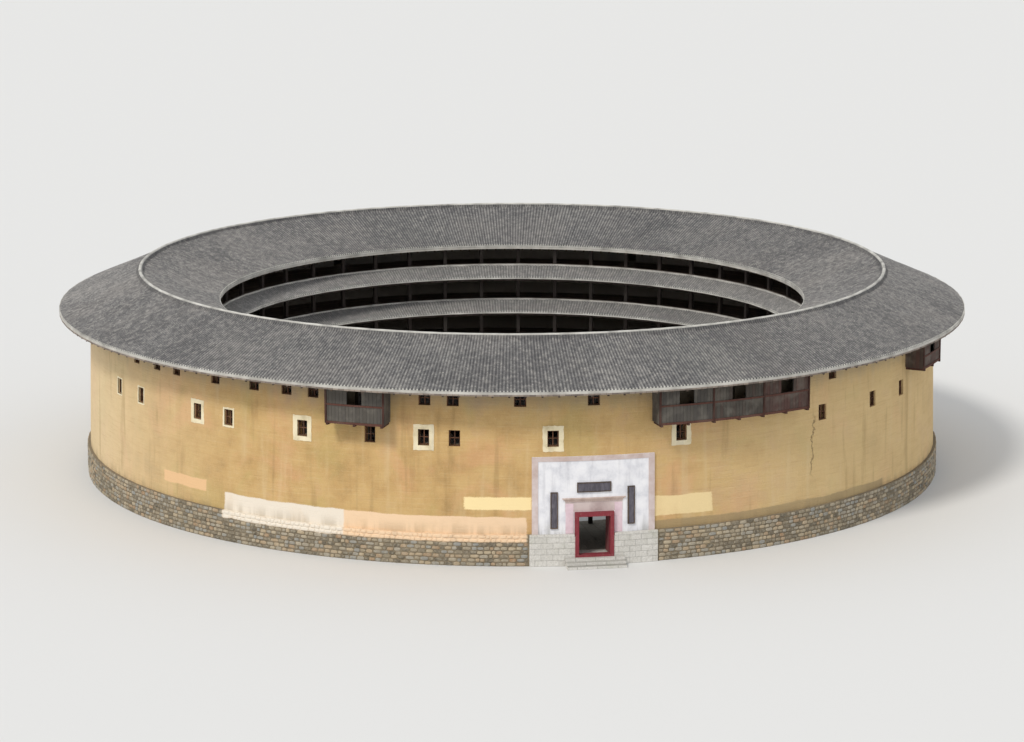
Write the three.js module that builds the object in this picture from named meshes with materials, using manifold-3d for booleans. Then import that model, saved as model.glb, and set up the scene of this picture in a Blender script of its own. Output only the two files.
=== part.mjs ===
// A four-storey round earth house: a ring of rammed earth on a stone plinth, timber galleries
// round an open courtyard, one tiled ring roof, hanging lookouts and a plastered doorway.
// Angles are in degrees round the house: 0 is the doorway, which faces -Y, and 90 faces +X.
import * as THREE from 'three';
import { mergeVertices } from 'three/addons/utils/BufferGeometryUtils.js';
import Module from 'manifold-3d';

const wasm = await Module();
wasm.setup();

// The model is built at 1:2, so one real metre is 500 mm here.
const MODEL_SCALE = 1 / 2;
const m = (realMetres) => realMetres * 1000 * MODEL_SCALE;

// Gaps are real clearances of the model, in mm: touching pieces, and pieces that swing.
const SEAT = 0.3;
const SWING = 6;

// Round parts have a side every 3.75 degrees, timber rings one side for each bay.
const ROUND_SIDES = 96;
const BAYS = 48;
const BAY = 360 / BAYS;

// Earth wall and plinth
const WALL_RADIUS = m(33);
const WALL_BATTER = m(0.3);
const WALL_TOP = m(13.6);
const PLINTH_TOP = m(2.25);
const PLINTH_PROUD = m(0.15);
const PLINTH_INNER = m(31.35);
// The wall is thinner by a ledge at each floor, and the floors lie on the ledges.
const STOREY_INNER = [m(31.35), m(31.55), m(31.75), m(31.95)];
const FLOOR_TOP = [m(0.6), m(4.3), m(7.4), m(10.35)];
const FLOOR_THICK = m(0.2);

// Ring roof
const RIDGE_RADIUS = m(28.87);
const RIDGE_TOP = m(15.74);
const TILES_AT_RIDGE = m(15.46);
const OUTER_EAVE = { radius: m(35.12), top: m(12.8) };
const INNER_EAVE = { radius: m(22.73), top: m(13.05) };
const ROOF_THICK = m(0.26);
const RIDGE_HALF_WIDTH = m(0.3);

// Timber frame round the courtyard
const POST_RADIUS = m(23.9);
const POST = m(0.28);
const BEAM = { width: m(0.22), height: m(0.34) };
const PARAPET = { thick: m(0.08), above: m(0.95), below: m(0.5) };
const COURT_PLATFORM = m(23.2);

// Tiled waist eaves in front of the two upper galleries
const WAIST_EAVE = { depth: m(1.55), drop: m(0.85), thick: m(0.14), aboveFloor: m(0.9) };

// Doorway: the opening in the wall, the timber frame in it and the two leaves
const DOORWAY = { half: m(1.385), bottom: FLOOR_TOP[0], top: m(3.8) };
const FRAME = { jamb: m(0.27), head: m(0.3), sill: m(0.16), front: m(33.3), back: m(32.72) };
const HEAD_BEAM_BACK = m(32.45);
const LEAF = { thick: m(0.09), hinge: m(1.2), axis: m(32.6), stile: m(0.065) };
const PIVOT = { radius: m(0.04), depth: m(0.12), sides: 16 };

// Plastered panel round the doorway, its stone foot, and the bare boards on it
const PANEL = { halfAngle: 7.6, top: m(7.75), thick: m(0.1) };
const PANEL_FOOT = { halfAngle: 7.9, top: m(2.1), thick: m(0.14) };
const BOARD_THICK = m(0.07);
const NAME_BOARD = { from: -2.1, to: 2.1, bottom: m(5.2), top: m(5.9) };
const COUPLET_BOARDS = {
  couplet_board_left: { from: -5.35, to: -4.45, bottom: m(2.65), top: m(5.25) },
  couplet_board_right: { from: 4.15, to: 5.05, bottom: m(2.8), top: m(5.5) },
};
const STEPS = { count: 3, tread: m(0.36), half: m(2.1) };

// Windows, as angles of the front half: the back half repeats them
const THIRD_FLOOR_WINDOW = { width: m(0.8), height: m(1.15), sill: m(8.45) };
const THIRD_FLOOR_ANGLES = [
  -72.5, -66, -53.5, -48, -36.7, -27.6, -20.8, -17, -5, 11.2, 32.8, 43.4, 51.5,
];
const FOURTH_FLOOR_WINDOW = { width: m(0.85), height: m(1.0), sill: m(11.3) };
const FOURTH_FLOOR_ANGLES = [-67.2, -62, -57.7, -50.3, -43.9, -39, -35.2, -20.7, -17.2, -9, 0, 34.7];

// Lookouts that hang on the wall under the eave, each with its row of openings
const LOOKOUT = {
  front: m(34.15), board: m(0.08), floor: m(0.14), sill: m(11.35), head: m(12.45), open: m(1.1),
  doorWidth: m(1.0), doorHeight: m(1.9),
};
const LOOKOUTS = {
  lookout_left_of_door: { from: -32.4, to: -25, bays: 1, bottom: m(10.0) },
  lookout_right_of_door: { from: 7.4, to: 28.1, bays: 3, bottom: m(10.0) },
  lookout_right_side: { from: 53, to: 60, bays: 1, bottom: m(10.4) },
};

const EARTH = { color: 0xc9a067, roughness: 0.95, metalness: 0 };
const STONE = { color: 0x8f8a80, roughness: 0.9, metalness: 0 };
const TIMBER = { color: 0x5d4a3a, roughness: 0.8, metalness: 0 };
const DARK_TIMBER = { color: 0x3c3330, roughness: 0.8, metalness: 0 };
const TILES = { color: 0x6f6d70, roughness: 0.85, metalness: 0 };
const LIME = { color: 0xcfccc4, roughness: 0.9, metalness: 0 };
const PLASTER = { color: 0xe9e8ea, roughness: 0.85, metalness: 0 };
const RED_PAINT = { color: 0x8e2f36, roughness: 0.6, metalness: 0 };

// Solids: three.js geometry in, closed solids that can be joined and cut out
function solid(geometry) {
  geometry.deleteAttribute('normal');
  geometry.deleteAttribute('uv');
  const merged = mergeVertices(geometry, 1e-3);
  const vertProperties = new Float32Array(merged.attributes.position.array);
  const triVerts = new Uint32Array(merged.index.array);
  return new wasm.Manifold(new wasm.Mesh({ numProp: 3, vertProperties, triVerts }));
}

function meshOf(name, body, finish) {
  const { vertProperties, triVerts } = body.getMesh();
  const geometry = new THREE.BufferGeometry();
  geometry.setAttribute('position', new THREE.BufferAttribute(vertProperties, 3));
  geometry.setIndex(new THREE.BufferAttribute(triVerts, 1));
  geometry.computeVertexNormals();
  const mesh = new THREE.Mesh(geometry, new THREE.MeshStandardMaterial(finish));
  mesh.name = name;
  return mesh;
}

// A full ring from a closed outline of [radius, height] points
function ring(outline, sides = ROUND_SIDES, turned = 0) {
  const points = outline.map(([radius, height]) => new THREE.Vector2(radius, height));
  points.push(points[0].clone());
  const start = THREE.MathUtils.degToRad(turned);
  const geometry = new THREE.LatheGeometry(points, sides, start).rotateX(Math.PI / 2);
  const body = solid(geometry);
  return body.volume() > 0 ? body : solid(flipped(geometry));
}

function flipped(geometry) {
  const index = geometry.index.array;
  for (let i = 0; i < index.length; i += 3) {
    [index[i], index[i + 1]] = [index[i + 1], index[i]];
  }
  return geometry;
}

const rectangle = (inner, outer, bottom, top) => [
  [inner, bottom], [outer, bottom], [outer, top], [inner, top],
];
const timberRing = (outline) => ring(outline, BAYS, BAY / 2);

function around(angle, radius) {
  const a = THREE.MathUtils.degToRad(angle);
  return new THREE.Vector2(radius * Math.sin(a), -radius * Math.cos(a));
}

// A slice of the house between two angles, less half a seam on either side
function wedge(from, to) {
  const reach = 2 * OUTER_EAVE.radius;
  const seam = THREE.MathUtils.radToDeg(SEAT / WALL_RADIUS);
  const corners = [from + seam, (from + to) / 2, to - seam].map((angle) => around(angle, reach));
  const outline = new THREE.Shape([new THREE.Vector2(0, 0), ...corners]);
  const height = 2 * RIDGE_TOP;
  const geometry = new THREE.ExtrudeGeometry(outline, { depth: height, bevelEnabled: false });
  return solid(geometry.translate(0, 0, -m(1)));
}

const slice = (body, from, to) => body.intersect(wedge(from, to));

// The front and the back half of a ring
function halves(name, body, finish) {
  const places = { front: -90, back: 90 };
  return Object.entries(places).map(([place, from]) => (
    meshOf(`${name}_${place}`, slice(body, from, from + 180), finish)
  ));
}

// A box with its faces square to the axes, and one turned to face outwards at an angle
function block([x0, x1], [y0, y1], [z0, z1]) {
  const geometry = new THREE.BoxGeometry(x1 - x0, y1 - y0, z1 - z0);
  return solid(geometry.translate((x0 + x1) / 2, (y0 + y1) / 2, (z0 + z1) / 2));
}

function blockAt(angle, width, [inner, outer], [z0, z1]) {
  const geometry = new THREE.BoxGeometry(width, outer - inner, z1 - z0);
  geometry.translate(0, -(inner + outer) / 2, (z0 + z1) / 2);
  return solid(geometry.rotateZ(THREE.MathUtils.degToRad(angle)));
}

function rod(x, y, radius, [z0, z1]) {
  const geometry = new THREE.CylinderGeometry(radius, radius, z1 - z0, PIVOT.sides).rotateX(Math.PI / 2);
  return solid(geometry.translate(x, y, (z0 + z1) / 2));
}

const joined = (bodies) => bodies.reduce((whole, body) => whole.add(body));
const opposite = (angle) => angle + 180;
const bothHalves = (angles) => [...angles, ...angles.map(opposite)];

// The roof's upper and lower faces, as heights at a radius
const outerPitch = (TILES_AT_RIDGE - OUTER_EAVE.top) / (OUTER_EAVE.radius - RIDGE_RADIUS);
const innerPitch = (TILES_AT_RIDGE - INNER_EAVE.top) / (RIDGE_RADIUS - INNER_EAVE.radius);

function roofTop(radius) {
  const out = radius - RIDGE_RADIUS;
  return TILES_AT_RIDGE - (out > 0 ? out * outerPitch : -out * innerPitch);
}

const roofUnder = (radius) => roofTop(radius) - ROOF_THICK;
const wallFace = (height) => WALL_RADIUS - WALL_BATTER * (height / WALL_TOP);

// Everything above the roof's underside: what carries the roof is cut to fit under it.
function spaceAboveRoof() {
  const [inner, outer] = [INNER_EAVE.radius - m(0.5), OUTER_EAVE.radius + m(0.5)];
  const under = [inner, RIDGE_RADIUS, outer].map((radius) => [radius, roofUnder(radius) - SEAT]);
  const sky = 2 * RIDGE_TOP;
  return ring([...under, [outer, sky], [inner, sky]]);
}

const aboveRoof = spaceAboveRoof();

// Stone plinth: four quarters, open at the doorway
function plinthQuarters() {
  const whole = ring(rectangle(PLINTH_INNER, WALL_RADIUS + PLINTH_PROUD, 0, PLINTH_TOP - SEAT));
  const reach = [-m(34), -m(31)];
  const cut = whole.subtract(block([-DOORWAY.half, DOORWAY.half], reach, [-m(1), PLINTH_TOP + m(1)]));
  const quarters = { front_right: 0, back_right: 90, back_left: 180, front_left: 270 };
  return Object.entries(quarters).map(([place, from]) => (
    meshOf(`stone_plinth_${place}`, slice(cut, from, from + 90), STONE)
  ));
}

// Rammed-earth wall with a ledge inside for each floor, and its windows cut through
function wallRing() {
  const [second, third, fourth] = FLOOR_TOP.slice(1).map((top) => top - FLOOR_THICK - SEAT);
  const [ground, upper, high, top] = STOREY_INNER;
  const sky = WALL_TOP + m(1);
  const whole = ring([
    [ground, PLINTH_TOP], [wallFace(PLINTH_TOP), PLINTH_TOP], [wallFace(sky), sky], [top, sky],
    [top, fourth], [high, fourth], [high, third], [upper, third], [upper, second], [ground, second],
  ]);
  return whole.subtract(aboveRoof);
}

function windowHoles() {
  const reach = [m(31), m(34)];
  const hole = ({ width, height, sill }) => (angle) => blockAt(angle, width, reach, [sill, sill + height]);
  return [
    ...bothHalves(THIRD_FLOOR_ANGLES).map(hole(THIRD_FLOOR_WINDOW)),
    ...bothHalves(FOURTH_FLOOR_ANGLES).map(hole(FOURTH_FLOOR_WINDOW)),
  ];
}

// The way from the fourth floor into each lookout
function lookoutDoorways() {
  const foot = FLOOR_TOP[3];
  const heights = [foot, foot + LOOKOUT.doorHeight];
  return Object.values(LOOKOUTS).flatMap(({ from, to }) => (
    bothHalves([(from + to) / 2]).map((angle) => blockAt(angle, LOOKOUT.doorWidth, [m(31), m(34)], heights))
  ));
}

function earthWalls() {
  const whole = wallRing().subtract(joined([...windowHoles(), ...lookoutDoorways()]));
  const segments = {
    earth_wall_right_front: 22.5, earth_wall_right: 67.5, earth_wall_right_back: 112.5,
    earth_wall_back: 157.5, earth_wall_left_back: 202.5, earth_wall_left: 247.5,
    earth_wall_left_front: 292.5,
  };
  const walls = Object.entries(segments).map(([name, from]) => (
    meshOf(name, slice(whole, from, from + 45), EARTH)
  ));
  return [...walls, ...wallRoundDoorway(slice(whole, -22.5, 22.5))];
}

function wallRoundDoorway(front) {
  const deep = [-m(40), 0];
  const side = m(20);
  const edge = DOORWAY.half + SEAT;
  const over = block([-DOORWAY.half, DOORWAY.half], deep, [DOORWAY.top, 2 * RIDGE_TOP]);
  const left = block([-side, -edge], deep, [0, 2 * RIDGE_TOP]);
  const right = block([edge, side], deep, [0, 2 * RIDGE_TOP]);
  return [
    meshOf('earth_wall_over_door', front.intersect(over), EARTH),
    meshOf('earth_wall_left_of_door', front.intersect(left), EARTH),
    meshOf('earth_wall_right_of_door', front.intersect(right), EARTH),
  ];
}

// Floors: the ground platform, and timber floors that lie on the wall's ledges and, along their
// inner edge, on a ring beam behind the posts
function floors() {
  const cornerOfPost = (POST / 2) * Math.tan(THREE.MathUtils.degToRad(BAY / 2));
  const inner = POST_RADIUS + POST / 2 + cornerOfPost + SEAT;
  const timber = ['second_floor', 'third_floor', 'fourth_floor'].flatMap((name, i) => {
    const [top, outer] = [FLOOR_TOP[i + 1], STOREY_INNER[i + 1] - SEAT];
    const under = top - FLOOR_THICK;
    const beam = rectangle(inner, inner + BEAM.width, under - SEAT - BEAM.height, under - SEAT);
    return [
      meshOf(name, timberRing(rectangle(inner, outer, under, top)), TIMBER),
      meshOf(`ring_beam_${name}`, timberRing(beam), TIMBER),
    ];
  });
  const ground = timberRing(rectangle(COURT_PLATFORM, PLINTH_INNER - SEAT, 0, FLOOR_TOP[0]));
  return [meshOf('ground_floor', ground, STONE), ...timber];
}

// Posts from the platform to the roof, in quarters that a plate joins under the roof
function postQuarters() {
  const foot = FLOOR_TOP[0] + SEAT;
  const plateTop = roofUnder(POST_RADIUS) + m(0.3);
  const [inner, outer] = [POST_RADIUS - POST / 2, POST_RADIUS + POST / 2];
  const plate = timberRing(rectangle(inner + m(0.03), outer - m(0.03), plateTop - m(0.6), plateTop));
  const posts = Array.from({ length: BAYS }, (_, i) => (
    blockAt((i + 0.5) * BAY, POST, [inner, outer], [foot, plateTop])
  ));
  const whole = joined([plate, ...posts]).subtract(aboveRoof);
  const quarters = { front: -45, right: 45, back: 135, left: 225 };
  return Object.entries(quarters).map(([place, from]) => (
    meshOf(`gallery_posts_${place}`, slice(whole, from, from + 90), TIMBER)
  ));
}

// Boarded parapets of the galleries, on the courtyard side of the posts
const parapetFace = POST_RADIUS - POST / 2 - SEAT - PARAPET.thick;

function parapets() {
  return ['second_floor', 'third_floor', 'fourth_floor'].map((storey, i) => {
    const top = FLOOR_TOP[i + 1];
    const outer = parapetFace + PARAPET.thick;
    const outline = rectangle(parapetFace, outer, top - PARAPET.below, top + PARAPET.above);
    return meshOf(`gallery_parapet_${storey}`, timberRing(outline), TIMBER);
  });
}

// Ring roof: two slopes that lean together at the ridge, under a lime ridge cap
function roof() {
  const slope = (from, to) => ring([
    [from, roofUnder(from)], [to, roofUnder(to)], [to, roofTop(to)], [from, roofTop(from)],
  ]);
  const [low, high] = [RIDGE_RADIUS - RIDGE_HALF_WIDTH, RIDGE_RADIUS + RIDGE_HALF_WIDTH];
  const cap = ring([
    [low, roofTop(low) + SEAT], [RIDGE_RADIUS, TILES_AT_RIDGE + SEAT], [high, roofTop(high) + SEAT],
    [RIDGE_RADIUS, RIDGE_TOP],
  ]);
  return [
    ...halves('roof_outer_slope', slope(RIDGE_RADIUS + SEAT / 2, OUTER_EAVE.radius), TILES),
    ...halves('roof_inner_slope', slope(INNER_EAVE.radius, RIDGE_RADIUS - SEAT / 2), TILES),
    meshOf('roof_ridge', cap, LIME),
  ];
}

// Waist eaves: short tiled slopes hung on the courtyard side of the gallery parapets
function waistEaves() {
  const { depth, drop, thick, aboveFloor } = WAIST_EAVE;
  const back = parapetFace - SEAT;
  const lip = back - depth;
  return ['third_floor', 'fourth_floor'].flatMap((storey, i) => {
    const top = FLOOR_TOP[i + 2] + aboveFloor;
    const outline = [[lip, top - drop - thick], [back, top - thick], [back, top], [lip, top - drop]];
    return halves(`waist_eave_${storey}`, timberRing(outline), TILES);
  });
}

// A lookout: floor, front and end boards under the eave, open to the doorway behind it
function lookout({ from, to, bays, bottom }, turned) {
  const { front, board, floor, sill, head, open } = LOOKOUT;
  const wall = wallFace(bottom) + SEAT;
  const sky = 2 * RIDGE_TOP;
  const [start, end] = [from + turned, to + turned];
  const shell = slice(ring(rectangle(wall, front, bottom, sky)), start, end);
  const endBoard = THREE.MathUtils.radToDeg(board / front);
  const room = ring(rectangle(PLINTH_INNER, front - board, bottom + floor, sky + m(1)));
  const inside = slice(room, start + endBoard, end - endBoard);
  const bayAngle = (end - start) / bays;
  const openings = Array.from({ length: bays }, (_, i) => (
    blockAt(start + (i + 0.5) * bayAngle, open, [front - m(0.5), front + m(0.5)], [sill, head])
  ));
  return shell.subtract(inside).subtract(joined(openings)).subtract(aboveRoof);
}

function lookouts() {
  return Object.entries(LOOKOUTS).flatMap(([name, form]) => [
    meshOf(name, lookout(form, 0), DARK_TIMBER),
    meshOf(name.replace('lookout_', 'back_lookout_'), lookout(form, 180), DARK_TIMBER),
  ]);
}

// Plates that follow the wall: the plaster panel, its stone foot and the boards on it
function plateOnWall({ from, to, bottom, top }, [off, thick], face = wallFace) {
  const outline = [
    [face(bottom) + off, bottom], [face(bottom) + off + thick, bottom],
    [face(top) + off + thick, top], [face(top) + off, top],
  ];
  return slice(ring(outline), from, to);
}

function portal() {
  const doorway = block([-DOORWAY.half, DOORWAY.half], [-m(35), -m(31)], [-m(1), DOORWAY.top]);
  const plaster = { from: -PANEL.halfAngle, to: PANEL.halfAngle, bottom: PLINTH_TOP, top: PANEL.top };
  const feet = {
    portal_stone_left: { from: -PANEL_FOOT.halfAngle, to: 0, bottom: 0, top: PANEL_FOOT.top },
    portal_stone_right: { from: 0, to: PANEL_FOOT.halfAngle, bottom: 0, top: PANEL_FOOT.top },
  };
  const plinthFace = () => WALL_RADIUS + PLINTH_PROUD;
  const onPanel = [SEAT + PANEL.thick + SEAT, BOARD_THICK];
  return [
    meshOf('portal_plaster', plateOnWall(plaster, [SEAT, PANEL.thick]).subtract(doorway), PLASTER),
    ...Object.entries(feet).map(([name, place]) => (
      meshOf(name, plateOnWall(place, [SEAT, PANEL_FOOT.thick], plinthFace).subtract(doorway), STONE)
    )),
    meshOf('name_board', plateOnWall(NAME_BOARD, onPanel), DARK_TIMBER),
    ...Object.entries(COUPLET_BOARDS).map(([name, place]) => (
      meshOf(name, plateOnWall(place, onPanel), DARK_TIMBER)
    )),
  ];
}

// The pivots are many-sided, so a socket's flats lie outside the circle that a pin's edges sweep.
const SOCKET_RADIUS = (PIVOT.radius + SEAT) / Math.cos(Math.PI / PIVOT.sides);

// Doorway floor with the pivot sockets, and the steps up to it
function pivotRods(radius, heights) {
  return [-LEAF.hinge, LEAF.hinge].map((x) => rod(x, -LEAF.axis, radius, heights));
}

function threshold() {
  const half = DOORWAY.half - SEAT;
  const floor = block([-half, half], [-FRAME.front, -PLINTH_INNER], [0, DOORWAY.bottom - SEAT]);
  const heights = [DOORWAY.bottom - PIVOT.depth - SEAT, DOORWAY.bottom + m(1)];
  const sockets = joined(pivotRods(SOCKET_RADIUS, heights));
  return meshOf('threshold_stone', floor.subtract(sockets), STONE);
}

function doorSteps() {
  const back = FRAME.front + SEAT;
  const flight = Array.from({ length: STEPS.count }, (_, i) => {
    const top = ((DOORWAY.bottom - SEAT) * (i + 1)) / STEPS.count;
    return block([-STEPS.half, STEPS.half], [-back - STEPS.tread * (STEPS.count - i), -back], [0, top]);
  });
  return meshOf('door_steps', joined(flight), STONE);
}

// Timber door frame: jambs and sill in front, and a deep head that holds the upper pivots
function doorFrame() {
  const half = DOORWAY.half - SEAT;
  const [bottom, top] = [DOORWAY.bottom, DOORWAY.top - SEAT];
  const inner = half - FRAME.jamb;
  const depth = [-FRAME.front, -FRAME.back];
  const headUnder = top - FRAME.head;
  const heights = [headUnder - m(0.5), headUnder + PIVOT.depth + SEAT];
  const sockets = joined(pivotRods(SOCKET_RADIUS, heights));
  const frame = joined([
    block([-half, -inner], depth, [bottom, top]),
    block([inner, half], depth, [bottom, top]),
    block([-half, half], depth, [bottom, bottom + FRAME.sill]),
    block([-half, half], [-FRAME.front, -HEAD_BEAM_BACK], [headUnder, top]),
  ]);
  return meshOf('door_frame', frame.subtract(sockets), RED_PAINT);
}

// A door leaf, standing open against the side of the passage: a plank on a round stile
// whose ends turn in the threshold and in the head of the frame
function doorLeaf(name, side) {
  const [bottom, top] = [DOORWAY.bottom + SWING, DOORWAY.top - SEAT - FRAME.head - SWING];
  const x = side * LEAF.hinge;
  const width = LEAF.hinge - SWING;
  const pins = [DOORWAY.bottom - PIVOT.depth, DOORWAY.top - SEAT - FRAME.head + PIVOT.depth];
  const leaf = joined([
    block([x - LEAF.thick / 2, x + LEAF.thick / 2], [-LEAF.axis, -LEAF.axis + width], [bottom, top]),
    rod(x, -LEAF.axis, LEAF.stile, [bottom, top]),
    rod(x, -LEAF.axis, PIVOT.radius, pins),
  ]);
  return meshOf(name, leaf, DARK_TIMBER);
}

const house = new THREE.Group();
house.add(
  ...plinthQuarters(),
  ...earthWalls(),
  ...floors(),
  ...postQuarters(),
  ...parapets(),
  ...roof(),
  ...waistEaves(),
  ...lookouts(),
  ...portal(),
  threshold(),
  doorSteps(),
  doorFrame(),
  doorLeaf('door_leaf_left', -1),
  doorLeaf('door_leaf_right', 1),
);

export default house;
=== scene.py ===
# %% [markdown]
# # Dressing a round earth house
# This lesson finishes a 1:2 scale model of a tulou, the round rammed-earth house of a mountain clan.
# The solid model already gives the true shape: a ring of earth wall on a stone plinth, timber
# galleries round a courtyard, and one ring roof. What it lacks is everything small: tiles, stones,
# boards, window bars, plaster edges, and the colour and wear of each surface. Each step adds one.
#
# ## Loading the frame
# The packed model is the fixed frame. The house could be modelled afresh here, but then the two would drift
# apart. So nothing in the frame is moved.

# %% Load the frame
import math
import random
import bpy
import numpy as np
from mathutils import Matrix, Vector


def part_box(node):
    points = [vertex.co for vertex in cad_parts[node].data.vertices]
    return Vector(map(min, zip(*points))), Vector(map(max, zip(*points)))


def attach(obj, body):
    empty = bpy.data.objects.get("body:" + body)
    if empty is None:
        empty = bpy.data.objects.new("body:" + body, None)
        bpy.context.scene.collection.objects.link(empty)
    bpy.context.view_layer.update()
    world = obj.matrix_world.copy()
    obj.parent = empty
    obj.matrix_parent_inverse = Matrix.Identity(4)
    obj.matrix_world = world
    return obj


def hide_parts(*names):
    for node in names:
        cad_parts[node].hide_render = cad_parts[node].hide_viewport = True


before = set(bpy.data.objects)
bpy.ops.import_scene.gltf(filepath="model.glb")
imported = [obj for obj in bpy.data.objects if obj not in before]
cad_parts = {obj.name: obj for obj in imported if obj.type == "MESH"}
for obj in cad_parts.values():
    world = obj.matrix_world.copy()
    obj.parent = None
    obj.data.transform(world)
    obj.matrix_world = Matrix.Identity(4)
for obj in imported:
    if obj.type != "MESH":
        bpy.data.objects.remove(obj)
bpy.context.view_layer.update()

# %% [markdown]
# ## The sizes that everything follows
# A round house is easiest to think of in round terms: an angle from the doorway, a radius from the
# middle of the courtyard, and a height. Sizes could be typed in one by one, but most are read from
# the frame, so that they stay true if it changes. The rest are driving sizes that no box can tell,
# in metres of the 1:2 model.

# %% Driving sizes
def reach(node):
    """How far a round node reaches from the middle of the courtyard."""
    low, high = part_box(node)
    return max(-low.x, high.x, -low.y, high.y)


ROOF_THICK = 0.13
RIDGE_HALF = 0.15
SLOPE_LOW, SLOPE_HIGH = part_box("roof_outer_slope_front")
OUTER_EAVE = {"radius": reach("roof_outer_slope_front"), "top": SLOPE_LOW.z + ROOF_THICK}
INNER_EAVE = {"radius": 11.365, "top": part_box("roof_inner_slope_front")[0].z + ROOF_THICK}
TILES_AT_RIDGE = SLOPE_HIGH.z
RIDGE_RADIUS = reach("roof_ridge") - RIDGE_HALF
RIDGE_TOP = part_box("roof_ridge")[1].z
PLINTH = {"radius": reach("stone_plinth_front_right"), "top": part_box("stone_plinth_front_right")[1].z}
WALL_RADIUS = 16.5
WALL_HIGH, LEANS_IN = 6.8, 0.15
WALL_LEAN = LEANS_IN / WALL_HIGH
FLOOR_TOPS = {storey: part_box(f"{storey}_floor")[1].z for storey in ("ground", "second", "third", "fourth")}
BAYS = 48
BAY = 360 / BAYS
PARAPET_THICK = 0.04
PARAPET_FACE = reach("gallery_parapet_third_floor") - PARAPET_THICK
print("ridge radius", round(RIDGE_RADIUS, 3), "outer eave", OUTER_EAVE, "floors", FLOOR_TOPS)

# %% [markdown]
# ## Places round the house
# One function turns an angle, a sideways step, a radius and a height into a point. Angle 0 is the
# doorway, which faces -Y, and angles grow towards +X. The alternative is to work in X and Y each
# time, but then no number says where on the house it is. Other functions give the lean of the wall,
# the slope of the roof, and the flat sides that the solid rings have in place of a true curve, so
# that each piece can be set right against them.

# %% Places
WALL_RING = {"sides": 96, "centre": 1.875}
COURT_RING = {"sides": BAYS, "centre": 0.0}


def place(angle, across, radius, height):
    """A point: an angle in degrees, then metres across, out and up."""
    a = math.radians(angle)
    return (radius * math.sin(a) + across * math.cos(a), -radius * math.cos(a) + across * math.sin(a), height)


def flat_side(angles, ring=WALL_RING):
    """How far in a ring's flat side lies at an angle, as a share of the ring's radius."""
    step = 2 * math.pi / ring["sides"]
    off = (np.radians(angles - ring["centre"]) + step / 2) % step - step / 2
    return math.cos(step / 2) / np.cos(off)


def wall_face(height):
    """How far out the leaning wall's face is at a height."""
    return WALL_RADIUS - WALL_LEAN * height


OUTER_PITCH = (TILES_AT_RIDGE - OUTER_EAVE["top"]) / (OUTER_EAVE["radius"] - RIDGE_RADIUS)
INNER_PITCH = (TILES_AT_RIDGE - INNER_EAVE["top"]) / (RIDGE_RADIUS - INNER_EAVE["radius"])


def roof_top(radius):
    out = radius - RIDGE_RADIUS
    return TILES_AT_RIDGE - np.where(out > 0, out * OUTER_PITCH, -out * INNER_PITCH)


def roof_under(radius):
    return float(roof_top(radius)) - ROOF_THICK


print("pitches", round(OUTER_PITCH, 3), round(INNER_PITCH, 3))

# %% [markdown]
# ## A pile of small solids
# Rafters, boards, stones and window bars come in hundreds. One object for each would be easy to
# write, but slow to draw and to save, so they are gathered in a pile that becomes one mesh. Each
# solid is closed, and each carries a tone between 0 and 1, drawn from a seeded die, which its finish
# later reads to make one board darker than the next.

# %% The pile
BOX_FACES = [(2, 3, 1, 0), (5, 7, 6, 4), (1, 5, 4, 0), (6, 7, 3, 2), (4, 6, 2, 0), (3, 7, 5, 1)]


def nothing(_):
    return 0.0


class Pile:
    """Small closed solids that become one mesh."""

    def __init__(self, seed):
        self.points, self.faces, self.tones = [], [], []
        self.dice = random.Random(seed)

    def add(self, points, faces, tone=None):
        start = len(self.points)
        self.points.extend(points)
        self.faces.extend(tuple(start + i for i in face) for face in faces)
        self.tones.extend([self.dice.random() if tone is None else tone] * len(points))

    def box(self, angle, across, out, up, face=nothing, lift=nothing, tone=None):
        """A box facing outwards. face(height) shifts it outwards, lift(radius) shifts it upwards."""
        corners = [(t, r, z) for t in across for r in out for z in up]
        points = [place(angle, t, r + face(z), z + lift(r)) for t, r, z in corners]
        self.add(points, BOX_FACES, tone)

    def prism(self, angle, outline, out):
        """An outline of (across, up) points, anticlockwise from outside, drawn out along a radius."""
        n = len(outline)
        points = [place(angle, t, r, z) for r in out for t, z in outline]
        sides = [(i, (i + 1) % n, n + (i + 1) % n, n + i) for i in range(n)]
        self.add(points, [tuple(range(n - 1, -1, -1)), tuple(range(n, 2 * n)), *sides])


print("a box has", len(BOX_FACES), "faces")

# %% [markdown]
# ## From points to a piece
# A mesh is only points and faces until it belongs to the house. Each piece rides on a body, so that it moves
# when a door leaf does, and takes its finish as its material. A piece may also stand for a node of the solid
# model, which is then hidden. One function does all of this, so that no piece can miss a step.

# %% Make a piece
def make_piece(name, points, faces, finish, body="house", tones=None, replaces=()):
    mesh = bpy.data.meshes.new(name)
    mesh.from_pydata(points, [], faces)
    if tones is not None:
        mesh.attributes.new("tone", "FLOAT", "POINT").data.foreach_set("value", tones)
    mesh.materials.append(finish)
    piece = bpy.data.objects.new(name, mesh)
    bpy.context.scene.collection.objects.link(piece)
    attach(piece, body)
    if replaces:
        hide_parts(*replaces)
    print(name, "faces", len(mesh.polygons))


def make_pile(name, pile, finish, body="house"):
    make_piece(name, pile.points, pile.faces, finish, body, pile.tones)


# %% [markdown]
# ## Shader maths as plain expressions
# A finish is a tree of nodes. It could be wired by hand in the shader editor, but it reads best as a
# formula. A Paint wraps one output socket, and adding, multiplying or comparing Paints adds the Math
# nodes, so that 1 - mask is all it takes to turn a mask round.

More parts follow.
